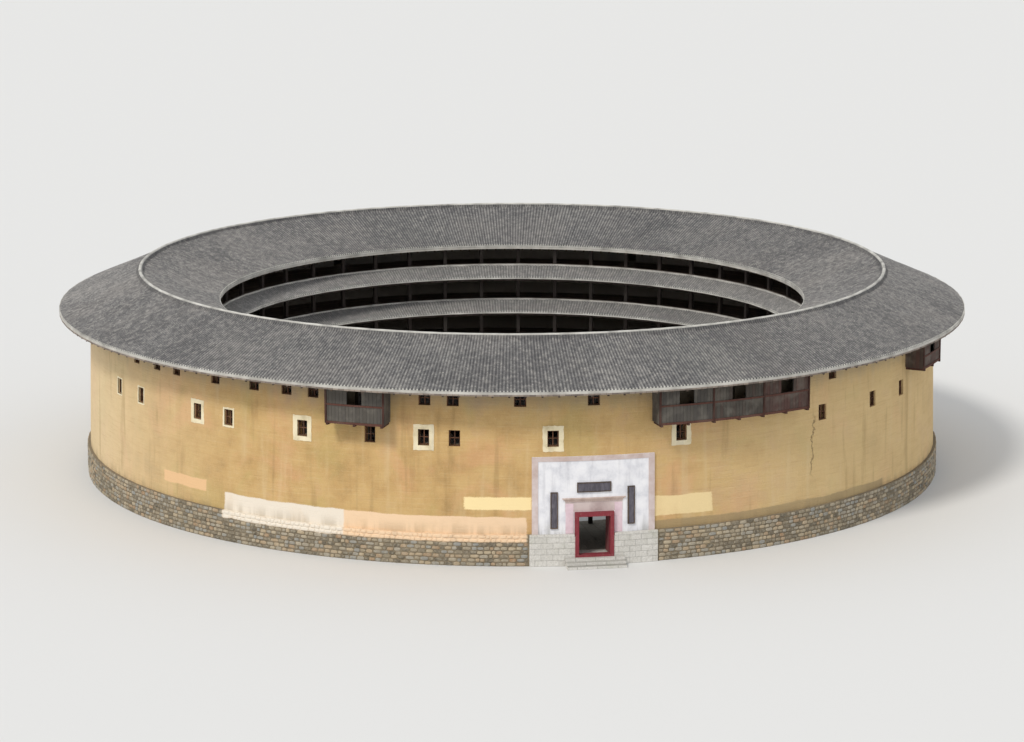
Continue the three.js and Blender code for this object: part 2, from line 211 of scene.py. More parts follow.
# %% Paint
class Paint:
    """A value that changes over a surface."""

    def __init__(self, job, socket):
        self.job, self.socket = job, socket

    def math(self, operation, *others):
        return self.job.node("ShaderNodeMath", {"operation": operation}, dict(enumerate((self, *others))))

    def __add__(self, other):
        return self.math("ADD", other)

    __radd__ = __add__

    def __sub__(self, other):
        return self.math("SUBTRACT", other)

    def __rsub__(self, other):
        return self.job.node("ShaderNodeMath", {"operation": "SUBTRACT"}, {0: other, 1: self})

    def __mul__(self, other):
        return self.math("MULTIPLY", other)

    __rmul__ = __mul__

    def __truediv__(self, other):
        return self.math("DIVIDE", other)

    def floor(self):
        return self.math("FLOOR")

    def off_whole(self):
        """The distance to the nearest whole number: 0 on it, 0.5 halfway."""
        return self.math("PINGPONG", 0.5)

    def rise(self, low, high):
        """A smooth step: 0 below low, 1 above high."""
        return self.job.node("ShaderNodeMapRange", {"interpolation_type": "SMOOTHSTEP"},
                             {"Value": self, "From Min": low, "From Max": high})

    def fall(self, low, high):
        return 1 - self.rise(low, high)

    def within(self, low, high, soft):
        """1 between low and high, 0 outside, with soft edges."""
        return self.rise(low - soft, low + soft) * self.fall(high - soft, high + soft)


print("paint knows", [word for word in vars(Paint) if not word.startswith("_")])

# %% [markdown]
# ## A finish that knows the house
# Every finish needs the same few things: noise, a random value for each tile or block, a ramp of
# colours, and the angle, radius and height of the spot on the house. A Finish holds the material and
# offers them as methods. One method makes any node, from its type, its settings and its inputs.
# Colours go through Mix nodes, because a Math node would turn them grey. Places come from Object
# coordinates, since a mesh made in code has no unwrapped map, and one would be of no use here.

# %% Finish
def shade(code):
    """A colour as painters name it on screen, turned into the light values that shaders use."""
    parts = [int(code[i:i + 2], 16) / 255 for i in (0, 2, 4)]
    return tuple(v / 12.92 if v <= 0.04045 else ((v + 0.055) / 1.055) ** 2.4 for v in parts) + (1.0,)


class Finish:
    """A procedural material for the house."""

    def __init__(self, name, roughness):
        self.material = bpy.data.materials.new(name)
        self.material.use_nodes = True
        self.tree = self.material.node_tree
        self.shader = self.tree.nodes["Principled BSDF"]
        self.shader.inputs["Roughness"].default_value = roughness
        self.shader.inputs["Specular IOR Level"].default_value = 0.25
        self.where = self.node("ShaderNodeTexCoord", output="Object")
        split = self.node("ShaderNodeSeparateXYZ", inputs={0: self.where}).socket.node
        self.x, self.y, self.z = [Paint(self, socket) for socket in split.outputs]
        self.angle = self.x.math("ARCTAN2", self.y * -1) * math.degrees(1)
        self.radius = (self.x * self.x + self.y * self.y).math("SQRT")

    def node(self, kind, settings=None, inputs=None, output=0):
        """Any node: settings come first, then a value or a link for each input."""
        made = self.tree.nodes.new(kind)
        for name, value in (settings or {}).items():
            if name == "stops":
                self.set_stops(made.color_ramp.elements, value)
            else:
                setattr(made, name, value)
        for name, value in (inputs or {}).items():
            if isinstance(value, Paint):
                self.tree.links.new(value.socket, made.inputs[name])
            else:
                made.inputs[name].default_value = value
        return Paint(self, made.outputs[output])

    def set_stops(self, elements, stops):
        for position, _ in stops[2:]:
            elements.new(position)
        for element, (position, colour) in zip(elements, stops):
            element.position, element.color = position, shade(colour)

    def joined(self, x, y, z=0.0):
        return self.node("ShaderNodeCombineXYZ", inputs={0: x, 1: y, 2: z})

    def stretched(self, x, y, z):
        return self.node("ShaderNodeVectorMath", {"operation": "MULTIPLY"}, {0: self.where, 1: (x, y, z)})

    def cloud(self, scale, detail=4.0, where=None, rough=0.55, warp=0.0):
        return self.node("ShaderNodeTexNoise", inputs={
            "Vector": where or self.where, "Scale": scale, "Detail": detail, "Roughness": rough,
            "Distortion": warp})

    def chance(self, x, y, z=0.0):
        """A random value for each whole-number cell."""
        return self.node("ShaderNodeTexWhiteNoise", {"noise_dimensions": "3D"},
                         {"Vector": self.joined(x, y, z)})

    def tone(self):
        return self.node("ShaderNodeAttribute", {"attribute_name": "tone"}, output="Fac")

    def ramp(self, value, *stops):
        return self.node("ShaderNodeValToRGB", {"stops": stops}, {0: value})

    def mix(self, amount, first, second):
        colours = [c if isinstance(c, Paint) else shade(c) for c in (first, second)]
        return self.node("ShaderNodeMix", {"data_type": "RGBA"},
                         {0: amount, 6: colours[0], 7: colours[1]}, output=2)

    def roughness(self, paint):
        self.tree.links.new(paint.socket, self.shader.inputs["Roughness"])

    def done(self, colour, relief, depth, strength):
        """Sets the colour, and a bump as deep as depth metres, and hands over the material."""
        self.tree.links.new(colour.socket, self.shader.inputs["Base Color"])
        bump = self.node("ShaderNodeBump", inputs={"Strength": strength, "Distance": depth, "Height": relief})
        self.tree.links.new(bump.socket, self.shader.inputs["Normal"])
        print("finish", self.material.name, "nodes", len(self.tree.nodes))
        return self.material


# %% [markdown]
# ## Rammed earth: the marks of its making
# The wall is raised in lifts of damp earth, rammed between boards. Lifts leave faint level lines, and
# board ends faint upright ones, staggered like brickwork. Both could be cut into the mesh, but they
# are only millimetres deep, so they come from whole numbers of lifts and boards, and reach the
# surface through a bump. Where rain has washed the face smooth they fade, or they would read as
# bricks.

# %% Lines of the ramming
LIFT = 0.2
BOARDS_ROUND = 132


def ramming_lines(job):
    """A shade for each rammed block, the level lines and the upright ones."""
    drift = job.cloud(0.9, 3)
    lift = job.z / LIFT + drift * 0.5
    board = job.angle * (BOARDS_ROUND / 360) + lift.floor() * 0.37 + drift * 0.15
    block = job.chance(board.floor().math("FLOORED_MODULO", BOARDS_ROUND), lift.floor())
    kept = job.cloud(0.45, 4, rough=0.6).rise(0.38, 0.62)
    level = lift.off_whole().fall(0.0, 0.11) * (kept * 0.8 + 0.2)
    upright = board.off_whole().fall(0.0, 0.016) * kept
    return block, level, upright


print("boards", round(2 * math.pi * WALL_RADIUS / BOARDS_ROUND, 2), "m long, lifts", LIFT, "m high")

# %% [markdown]
# ## Lime wash, painted shade and a crack
# Lime wash and old repairs lie on the earth near the doorway, each in its own patch. Inside the lookouts the
# earth is painted dark as shade, and a crack runs down on the right. Separate decals would float off a
# leaning wall, so the patches are masks, laid out by angle and height. Noise frays their edges, as a brush
# does. The unseen back has no wash, because nobody walks up to it.

# %% Patches on the wall
WASHED_BANDS = [
    {"from": -48.7, "to": -8.2, "low": 1.0, "high": 1.74, "colour": "f2d3b0", "much": 0.95},
    {"from": -48.7, "to": -31.0, "low": 1.0, "high": 1.76, "colour": "ebe3d5", "much": 0.9},
    {"from": -15.8, "to": -7.6, "low": 2.0, "high": 2.45, "colour": "fce5ae", "much": 0.95},
    {"from": -60.3, "to": -51.9, "low": 1.66, "high": 2.06, "colour": "ebc294", "much": 0.9},
    {"from": 7.6, "to": 15.5, "low": 1.58, "high": 2.3, "colour": "f2daa6", "much": 0.9},
    {"from": 7.6, "to": 46.0, "low": 1.0, "high": 1.42, "colour": "9c8a6a", "much": 0.7},
]
LOOKOUTS = [
    {"from": -32.4, "to": -25.0, "bays": 1, "bottom": 5.0, "tones": [0.25]},
    {"from": 7.4, "to": 28.1, "bays": 3, "bottom": 5.0, "tones": [0.2, 0.55, 0.9]},
    {"from": 53.0, "to": 60.0, "bays": 1, "bottom": 5.2, "tones": [0.8]},
]
CRACK = {"angle": 31.0, "low": 2.4, "high": 4.4}


def lime_washed(job, colour, ragged, fine):
    fray = (ragged - 0.5) * 0.5
    angle = job.angle + fray * 2 + (fine - 0.5) * 0.8
    height = job.z + fray * 0.4 + (fine - 0.5) * 0.12
    worn = ragged.rise(0.3, 0.5) * 0.2 + 0.8
    for band in WASHED_BANDS:
        mask = angle.within(band["from"], band["to"], 0.08) * height.within(band["low"], band["high"], 0.02)
        colour = job.mix(mask * worn * band["much"], colour, band["colour"])
    return colour, angle


def painted_lookout_shade(job, colour):
    """Earth inside each lookout painted dark as shade, at the front and half a turn round."""
    for form in LOOKOUTS:
        for turn in (0, 180):
            start = (form["from"] + turn + 180) % 360 - 180
            inside = job.angle.within(start, start + form["to"] - form["from"], 0.05)
            inside = inside * job.z.rise(form["bottom"], form["bottom"] + 0.05)
            # painted shade: the earth inside the lookout is darkened
            colour = job.mix(inside * 0.85, colour, "3d332a")
    return colour


def cracked(job, colour, angle):
    wander = (job.cloud(1.6, 4) - 0.5) * 2.2
    crack = (angle - CRACK["angle"] + wander).math("ABSOLUTE").fall(0.03, 0.14)
    return job.mix(crack * job.z.within(CRACK["low"], CRACK["high"], 0.3) * 0.7, colour, "4b3a28")


print("washed bands", len(WASHED_BANDS), "lookouts", 2 * len(LOOKOUTS))

# %% [markdown]
# ## Rammed earth: the finish
# Earth was dug from several beds, ochre, peach and olive, and decades of rain have streaked it and
# bared its layers and pebbles. A photographed surface would repeat round so long a wall, so noise at
# several sizes does this: broad patches, streaks that run down, thin level strata, grit and grain.
# Both sides are painted lighter, as light falling on them, the strip under the eave is painted grey as shade,
# and the wall behind the galleries is painted a cool grey as shade.

# %% Rammed earth finish
WALL_INSIDE = 16.0
# painted shade in a band under the eave; real splashes at the foot
EAVE_SHADE_BAND, SPLASHED = (5.25, 6.2), (1.1, 1.6)
# painted light: both sides of the wall are lighter, as the light falls on them
PAINTED_LIGHT_RIGHT, PAINTED_LIGHT_LEFT = (2, 38), (-86, -42)


def earth_grain(job, colour, fine, grit, strata):
    """Grains, layers and bared pebbles, and how much the pebbles stand out."""
    pebbles = job.node("ShaderNodeTexVoronoi", inputs={"Vector": job.where, "Scale": 15.0}).fall(0.1, 0.24)
    pebbles = pebbles * job.cloud(4.5, 3).rise(0.52, 0.6)
    colour = job.mix(grit.rise(0.5, 0.8) * 0.35, colour, "d8c096")
    colour = job.mix(fine.rise(0.48, 0.75) * 0.3, colour, "e2cda4")
    colour = job.mix(fine.fall(0.25, 0.47) * 0.3, colour, "94764a")
    colour = job.mix(strata.rise(0.52, 0.7) * 0.22, colour, "ab8757")
    colour = job.mix(strata.fall(0.3, 0.46) * 0.22, colour, "dcc496")
    return job.mix(pebbles * 0.4, colour, "b7aa90"), pebbles


def eave_shade_and_splashes(job, colour, ragged, streaks):
    """Grey painted as shade under the eave, and splashes at the foot."""
    edge = job.z + (ragged - 0.5) * 0.7 + (streaks - 0.5) * 0.8
    # painted shade: a grey band under the eave
    colour = job.mix(edge.rise(*EAVE_SHADE_BAND) * 0.6, colour, "8d8677")
    return job.mix(job.z.fall(*SPLASHED) * streaks.rise(0.4, 0.6) * 0.35, colour, "8f7c5e")


def earth_beds(job, colour):
    """Earth came from different beds: some of it is peach, and some of it olive."""
    bed = job.cloud(0.33, 5, rough=0.6, warp=0.6)
    colour = job.mix(bed.rise(0.52, 0.66) * 0.45, colour, "dba57c")
    return job.mix(bed.fall(0.34, 0.47) * 0.4, colour, "b7a667")


def rammed_earth():
    job = Finish("rammed_earth_ochre", 0.95)
    block, level, upright = ramming_lines(job)
    broad = job.cloud(0.16, 3)
    middling = job.cloud(0.8, 6, rough=0.6)
    grit = job.cloud(14, 5, rough=0.7)
    fine = job.cloud(48, 4, rough=0.75)
    strata = job.cloud(1.0, 5, where=job.stretched(1.1, 1.1, 24), rough=0.6)
    streaks = job.cloud(1.0, 5, where=job.stretched(2.4, 2.4, 0.22))
    colour = job.ramp(middling * 0.6 + broad * 0.4,
                      (0.36, "b39362"), (0.45, "c5a16b"), (0.54, "cfad75"), (0.64, "caa579"))
    colour = earth_beds(job, colour)
    # painted light on both sides of the wall
    colour = job.mix(job.angle.rise(*PAINTED_LIGHT_RIGHT) * 0.55, colour, "dfc797")
    colour = job.mix(job.angle.fall(*PAINTED_LIGHT_LEFT) * 0.7, colour, "ead6b0")
    colour = job.mix(block * 0.08, colour, "a98558")
    colour, pebbles = earth_grain(job, colour, fine, grit, strata)
    colour = job.mix(streaks.rise(0.52, 0.75) * 0.45, colour, "d9c196")
    colour = job.mix(streaks.fall(0.28, 0.45) * 0.35, colour, "94784f")
    colour = job.mix(level * middling.rise(0.42, 0.62) * 0.3, colour, "d6bf94")
    colour = job.mix(upright * 0.16, colour, "8d7148")
    colour, frayed_angle = lime_washed(job, colour, middling, fine)
    colour = cracked(job, painted_lookout_shade(job, colour), frayed_angle)
    colour = eave_shade_and_splashes(job, colour, middling, streaks)
    # painted shade: the wall's inner face, behind the galleries, is painted a cool grey
    inside = job.radius.fall(WALL_INSIDE, WALL_INSIDE + 0.1)
    colour = job.mix(inside * 0.9, colour, job.mix(middling, "86807a", "b0a9a0"))
    relief = grit * 0.7 + middling * 0.6 + fine * 0.3 + strata * 0.35 + pebbles * 0.25
    return job.done(colour, relief - level * 0.22 - upright * 0.14, 0.02, 0.7)


EARTH = rammed_earth()

# %% [markdown]
# ## Roof tiles: the finish
# Small grey clay tiles lie in columns: troughs that carry the water, and covers over the joints.
# They are laid dry, lapped by more than half, and each batch has burnt to its own grey. Forty thousand single
# tiles would be too heavy, so a column is real geometry, while the laps up the slope are a saw wave in a
# bump, and each tile's grey comes from its own column and course number. Troughs are painted darker, partly
# as shade between the covers and partly as damp, covers are a little paler, and lichen mottles both. The
# inner slope and the right side of the outer slope are painted darker as shade. The roof is mended a stretch
# at a time, so whole stretches differ too.

# %% Tile finish
TILE_LAP = 0.048
MENDED = 9.0
# painted shade: the right side of the outer slope is darker
PAINTED_SHADE_SIDE = {"from": 20, "to": 85, "soft": 18}


def roof_tile_finish(name, columns, slope_out, painted_light_and_dust=0.0, painted_shade=0.0):
    """The outer slope gets painted shade on its right side; the others get painted shade all round, or not at
    all.
    """
    job = Finish(name, 0.9)
    across = job.angle * (columns / 360)
    trough = (across - across.floor()).rise(0.5, 0.58)
    column = across.floor() * 2 + trough.math("ROUND")
    course = job.radius / TILE_LAP + job.chance(column, 0.0) * 0.6
    burnt = job.chance(column, course.floor())
    odd = job.chance(column, course.floor(), 5.0)
    weather = job.cloud(0.35, 5, rough=0.6)
    lichen = job.cloud(5.0, 3, rough=0.6)
    mended = job.chance((job.angle / MENDED).floor(), 1.0 if slope_out else 2.0)
    grey = job.ramp(burnt, (0.0, "5f5f60"), (0.35, "706f6f"), (0.7, "807f7e"), (1.0, "918f8d"))
    grey = job.mix(weather.rise(0.45, 0.66) * 0.5, grey, "9a9692")
    grey = job.mix(weather.fall(0.32, 0.48) * 0.5, grey, "545355")
    grey = job.mix(mended * 0.3, grey, "625f5f")
    grey = job.mix(job.cloud(0.5, 3).rise(0.52, 0.68) * 0.25, grey, "85807c")
    grey = job.mix(lichen.rise(0.5, 0.64) * 0.5, grey, "a8a49e")
    grey = job.mix(lichen.fall(0.36, 0.5) * 0.5, grey, "4c4b4d")
    grey = job.mix(odd.rise(0.975, 0.985) * 0.4, grey, "bab6ae")
    grey = job.mix(job.cloud(7, 5).rise(0.58, 0.75) * 0.3, grey, "74736a")
    if slope_out:
        painted_shade = job.angle.within(PAINTED_SHADE_SIDE["from"], PAINTED_SHADE_SIDE["to"], PAINTED_SHADE_SIDE["soft"]) * 0.2
    # troughs darker, partly as painted shade between the covers and partly as damp, plus painted shade on the
    # shaded side of the roof
    grey = job.mix(trough * 0.5 + painted_shade, grey, "4b4b4c")
    # covers a little paler; on the waist eaves, painted light and dust over the whole sheet
    grey = job.mix((1 - trough) * 0.12 + painted_light_and_dust, grey, "b3b1ad")
    lap = course - course.floor()
    return job.done(grey, (lap if slope_out else 1 - lap) + burnt * 0.4, 0.012, 0.8)


OUTER_COLUMNS, INNER_COLUMNS = 883, 697
TILES_OUT = roof_tile_finish("tiles_outer_slope", OUTER_COLUMNS, True)
TILES_IN = roof_tile_finish("tiles_inner_slope", INNER_COLUMNS, False, painted_shade=0.1)

# %% [markdown]
# ## Roof tiles: the sheet
# A sheet is a grid of points round the ring. Six points cross each column, three over the cover and
# three in the trough, and about ten rows go down the slope. An array modifier would lay every column
# exactly alike. Here columns wander a little and the roof rises and sinks, as it does on old
# battens. The sheet is closed below, so that it is a true solid.

# %% Tile sheets
COLUMN_STEPS = np.array([0.0, 0.16, 0.27, 0.38, 0.54, 0.77])
COLUMN_RISE = np.array([0.45, 0.9, 1.0, 0.9, 0.45, 0.0])
TILE_RISE, TILE_BED = 0.034, 0.02
OUTER_ROWS, INNER_ROWS = 11, 10
EAVE_MARGIN, RIDGE_MARGIN = 0.02, 0.1
WANDER, LUMP = 0.07, 0.004
LONG_SAG = {"deep": 0.010, "waves": 23, "twist": 2.1}
SHORT_SAG = {"deep": 0.006, "waves": 61}
ABOVE_BOARDS = 0.001


def sheet_rows(columns, radii, height_at, ring, seed):
    dice = np.random.RandomState(seed)
    sideways = dice.uniform(-WANDER, WANDER, (len(radii), columns))
    lumps = dice.uniform(-LUMP, LUMP, (len(radii), columns))
    steps = np.arange(columns)[:, None] + COLUMN_STEPS[None, :]
    rise = np.tile(COLUMN_RISE, columns) * TILE_RISE
    rows = []
    for radius, shift, lump in zip(radii, sideways, lumps):
        turn = (steps + shift[:, None]).ravel() * (360 / columns)
        a = np.radians(turn)
        sag = LONG_SAG["deep"] * np.sin(LONG_SAG["waves"] * a + radius * LONG_SAG["twist"])
        sag = sag + SHORT_SAG["deep"] * np.sin(SHORT_SAG["waves"] * a)
        lie = radius * flat_side(turn, ring)
        height = height_at(radius) + TILE_BED + rise + sag + np.repeat(lump, len(COLUMN_STEPS))
        rows.append(np.column_stack([lie * np.sin(a), -lie * np.cos(a), height]))
    return rows


def under_row(row, height):
    low = row.copy()
    low[:, 2] = float(height) + ABOVE_BOARDS
    return low


def tile_sheet(name, columns, radii, height_at, finish, seed, ring=WALL_RING):
    """Rows run from the smallest radius to the largest."""
    rows = sheet_rows(columns, radii, height_at, ring, seed)
    ends = [(rows[0], radii[0]), (rows[-1], radii[-1])]
    last = len(rows) - 1
    rows += [under_row(row, height_at(radius)) for row, radius in ends]
    n = columns * len(COLUMN_STEPS)
    j = np.arange(n)
    k = (j + 1) % n

    def strip(row_a, row_b):
        """A band of faces from one row to another, facing up where b lies outside a."""
        return np.column_stack([row_a * n + j, row_b * n + j, row_b * n + k, row_a * n + k])

    low_in, low_out = last + 1, last + 2
    bands = [strip(i, i + 1) for i in range(last)]
    bands += [strip(low_out, low_in), strip(last, low_out), strip(low_in, 0)]
    make_piece(name, np.concatenate(rows).tolist(), np.concatenate(bands).tolist(), finish)


outer_rows = np.linspace(RIDGE_RADIUS + RIDGE_MARGIN, OUTER_EAVE["radius"] - EAVE_MARGIN, OUTER_ROWS)
inner_rows = np.linspace(INNER_EAVE["radius"] + EAVE_MARGIN, RIDGE_RADIUS - RIDGE_MARGIN, INNER_ROWS)
tile_sheet("tiles_outer", OUTER_COLUMNS, outer_rows, roof_top, TILES_OUT, seed=3)
tile_sheet("tiles_inner", INNER_COLUMNS, inner_rows, roof_top, TILES_IN, seed=4)

# %% [markdown]
# ## Waist eaves
# The two upper galleries have a short tiled roof in front of the parapet, to keep driving rain off the
# timber. They need nothing new: they are the same kind of sheet, on straight runs from post to post. From the
# hillside they look paler than the main roof, since they catch the light and the lime dust from above, so
# their tiles are painted paler, partly as light and partly as dust.

# %% Waist eave tiles
WAIST_COLUMNS = 624
WAIST = {"back": reach("waist_eave_third_floor_front"), "depth": 0.775, "drop": 0.425}
WAIST_LIP = WAIST["back"] - WAIST["depth"]
WAIST_ABOVE_FLOOR = 0.45
WAIST_TOPS = {storey: FLOOR_TOPS[storey] + WAIST_ABOVE_FLOOR for storey in ("third", "fourth")}
# the waist eave tiles are painted paler, partly as light and partly as dust
TILES_WAIST = roof_tile_finish("tiles_waist_eaves", WAIST_COLUMNS, False, painted_light_and_dust=0.22)
WAIST_ROWS, WAIST_MARGIN = 4, 0.01
waist_rows = np.linspace(WAIST_LIP + WAIST_MARGIN, WAIST["back"] - WAIST_MARGIN, WAIST_ROWS)


def waist_top(top):
    return lambda radius: top - (WAIST["back"] - radius) * WAIST["drop"] / WAIST["depth"]


for storey, top in WAIST_TOPS.items():
    tile_sheet(f"tiles_waist_eave_{storey}", WAIST_COLUMNS, waist_rows, waist_top(top), TILES_WAIST,
               seed=len(storey), ring=COURT_RING)

# %% [markdown]
# ## Lime on the ridge
# Lime mortar caps the ridge, and from afar it draws the pale line that outlines the roof. A curve
# with a bevel would give a round, even sausage. The real ridge is three courses of flat tile, each
# narrower than the one below, under a bead laid by hand. So both are hoops: an outline swept round
# the house, shifted a little at each step. The bead stands for the plain ridge of the solid model.

# %% Lime finish and hoops
def lime_finish():
    job = Finish("weathered_lime", 0.92)
    blotch = job.cloud(1.4, 6, rough=0.65)
    colour = job.ramp(blotch, (0.3, "8f8d88"), (0.48, "bdbbb4"), (0.7, "d8d6cf"))
    colour = job.mix(job.cloud(0.5, 4).rise(0.5, 0.7) * 0.5, colour, "8a8885")
    return job.done(colour, blotch + job.cloud(20, 3) * 0.4, 0.008, 0.6)


def hoop(name, outline, finish, ring=WALL_RING, steps=4, uneven=0.0, seed=1, replaces=()):
    """An outline of (radius, height) points, anticlockwise, swept round the house."""
    dice = random.Random(seed)
    count, n = ring["sides"] * steps, len(outline)
    turns = np.arange(count) * (360 / count)
    points, faces = [], []
    for turn, share in zip(turns, flat_side(turns, ring)):
        out, up = [dice.uniform(-uneven, uneven) for _ in range(2)]
        points += [place(turn, 0, r * share + out, z + up) for r, z in outline]
    for i in range(count):
        a, b = i * n, (i + 1) % count * n
        faces += [(a + j, b + j, b + (j + 1) % n, a + (j + 1) % n) for j in range(n)]
    make_piece(name, points, faces, finish, replaces=replaces)


def mirrored(edge, radius, height):
    """A whole outline from its right-hand edge, given from the bottom up."""
    right = [(radius + r, height + z) for r, z in edge]
    return right + [(radius - r, height + z) for r, z in reversed(edge) if r > 0]


LIME = lime_finish()
RIDGE_SUNK, BEAD_UP, BEAD_SPARE = 0.06, 0.13, 0.006
RIDGE_BASE = TILES_AT_RIDGE - RIDGE_SUNK
BEAD_BASE = RIDGE_BASE + BEAD_UP
BEAD_TALL = RIDGE_TOP - BEAD_SPARE - BEAD_BASE
RIDGE_COURSES = [(0.15, 0.0), (0.15, 0.06), (0.12, 0.06), (0.12, 0.1), (0.09, 0.1), (0.09, 0.14)]
RIDGE_BEAD = [(0.062, 0.0), (0.055, 0.035), (0.03, BEAD_TALL - 0.008), (0.0, BEAD_TALL)]
hoop("ridge_courses", mirrored(RIDGE_COURSES, RIDGE_RADIUS, RIDGE_BASE), TILES_OUT,
     uneven=0.003, seed=7)
hoop("ridge_bead", mirrored(RIDGE_BEAD, RIDGE_RADIUS, BEAD_BASE), LIME, uneven=0.004,
     seed=8, replaces=["roof_ridge"])

# %% [markdown]
# ## Lime plugs at the eaves
# The open end of each cover tile is plugged with a dab of lime, against birds and wind. The row of
# dabs gives the eave its fine pale teeth. A bump can't give an outline against the sky, so each plug
# is a small half-round prism, one to a column.

# %% Plugs in the eave tiles
PLUG = [(-0.0306, -0.004), (0.0306, -0.004), (0.0234, 0.032), (0.0, 0.045), (-0.0234, 0.032)]
PLUG_SEAT = 0.018
PLUG_IN, WAIST_PLUG_IN = 0.026, 0.018
PLUG_WAVER = 0.003
COVER_MIDDLE = COLUMN_STEPS[2]


def plugs(name, columns, radius, thick, height_at, seed, ring=WALL_RING):
    """One plug to a column, thick outwards, or towards the courtyard where thick is negative."""
    pile = Pile(seed)
    seat = float(height_at(radius)) + PLUG_SEAT
    for i in range(columns):
        angle = (i + COVER_MIDDLE) * 360 / columns
        share = float(flat_side(angle, ring))
        outline = [(t, z + seat + pile.dice.uniform(-PLUG_WAVER, PLUG_WAVER)) for t, z in PLUG]
        pile.prism(angle, outline, [r * share for r in sorted((radius, radius + thick))])
    make_pile(name, pile, LIME)


plugs("lime_plugs_outer_eave", OUTER_COLUMNS, OUTER_EAVE["radius"] - PLUG_IN, 0.022, roof_top, 11)
plugs("lime_plugs_inner_eave", INNER_COLUMNS, INNER_EAVE["radius"] + PLUG_IN, -0.02, roof_top, 12)
for storey, top in WAIST_TOPS.items():
    plugs(f"lime_plugs_waist_eave_{storey}", WAIST_COLUMNS, WAIST_LIP + WAIST_PLUG_IN, -0.016,
          waist_top(top), len(storey) + 12, COURT_RING)

# %% [markdown]
# ## Beads and lip boards
# A bead of mortar closes the top of each waist eave against the parapet, and a lime-washed board
# runs under the tile ends of every eave, where it hides the cut roof boards. Each is a plain bar in
# section, so the hoop of the ridge serves again, with hardly any unevenness for sawn boards.

# %% Mortar beads and lip boards
BEAD_SIDE, BEAD_SINK = 0.07, 0.01
WAIST_LIP_BOARD = {"in": 0.008, "under": 0.03, "wide": 0.016, "tall": 0.045}
OUTER_LIP_BOARD = {"in": 0.012, "under": 0.012, "wide": 0.02, "tall": 0.03}
INNER_LIP_BOARD = {"in": 0.005, "under": 0.03, "wide": 0.022, "tall": 0.045}


def bar(radius, height, wide, tall):
    return [(radius - wide / 2, height), (radius + wide / 2, height),
            (radius + wide / 2, height + tall), (radius - wide / 2, height + tall)]


def lip_board(radius, top, board):
    """The outline of a board at the lip of an eave."""
    return bar(radius - board["in"], top - board["under"], board["wide"], board["tall"])


for storey, top in WAIST_TOPS.items():
    bead = bar(WAIST["back"] - BEAD_SIDE / 2, top - BEAD_SINK, BEAD_SIDE, BEAD_SIDE)
    hoop(f"mortar_bead_waist_eave_{storey}", bead, LIME, COURT_RING, steps=6,
         uneven=0.004, seed=len(storey))
    board = lip_board(WAIST_LIP, top - WAIST["drop"], WAIST_LIP_BOARD)
    hoop(f"lip_board_waist_eave_{storey}", board, LIME, COURT_RING, steps=2)
outer_board = lip_board(OUTER_EAVE["radius"], OUTER_EAVE["top"], OUTER_LIP_BOARD)
inner_board = lip_board(INNER_EAVE["radius"], INNER_EAVE["top"], INNER_LIP_BOARD)
hoop("lip_board_outer_eave", outer_board, LIME, steps=2, uneven=0.002, seed=5)
hoop("lip_board_inner_eave", inner_board, LIME, steps=2, uneven=0.002, seed=6)

# %% [markdown]
# ## Timber
# Fir, never painted, has gone brown under cover and silver-grey in the weather. A wood texture made
# of rings suits a cut end, but these are long faces. So grain is noise that is stretched along each
# member: up the posts, round the ring beams and out along the rafters.

# %% Timber finishes
GALLERY_RADIUS = 12


def timber(name, dark, light, grain, weathered="857b70", bleach=0.35):
    """Grain that runs up, round or out. The tone of each member makes it darker or lighter."""
    job = Finish(name, 0.82)
    along_ring = job.angle * (GALLERY_RADIUS * math.radians(1))
    runs = {
        "up": job.stretched(9, 9, 0.7),
        "round": job.joined(along_ring * 0.7, job.radius * 9, job.z * 9),
        "out": job.joined(along_ring * 9, job.radius * 0.7, job.z * 9),
    }
    fibres = job.cloud(4, 6, where=runs[grain], rough=0.65, warp=0.4)
    colour = job.ramp(fibres * 0.6 + job.tone() * 0.4, (0.25, dark), (0.7, light))
    colour = job.mix(job.cloud(1.2, 4).rise(0.45, 0.7) * bleach, colour, weathered)
    job.roughness(0.75 + fibres * 0.2)
    return job.done(colour, fibres, 0.006, 0.6)


TIMBER_UP = timber("gallery_timber_upright", "342d2a", "5b504a", "up", "76706a", 0.3)
TIMBER_ROUND = timber("gallery_timber_round", "3b332f", "65594f", "round", "6e665d", 0.25)
TIMBER_OUT = timber("roof_timber", "40372f", "6b5e52", "out", "6e665d", 0.25)

# %% [markdown]
# ## Rafters
# Rafters run down both slopes and carry the deep eaves, which keep rain off the earth wall. Copies
# of one rafter on an empty would do, but each has to stop at a wall plate, and those over a lookout
# start at its front. A loop of boxes that follow the roof's underside can ask for that one by one.

# %% Rafters
RAFTERS = 192
RAFTER = {"half": 0.035, "deep": 0.085, "clear": 0.003}
POST_PLATE = {"inner": 11.86, "outer": 12.04}
WALL_HEAD = {"inner": 15.96, "outer": wall_face(6.5)}
LOOKOUT_FRONT = 17.075
STOPS_SHORT = {"lookout": 0.025, "wall": 0.02, "outer_eave": 0.06, "inner_eave": 0.05, "ridge": 0.02}


def over_lookout(angle, spare=0.4):
    """True above a lookout, at the front or half a turn round."""
    return any((angle - form["from"] + spare) % 180 < form["to"] - form["from"] + 2 * spare
               for form in LOOKOUTS)


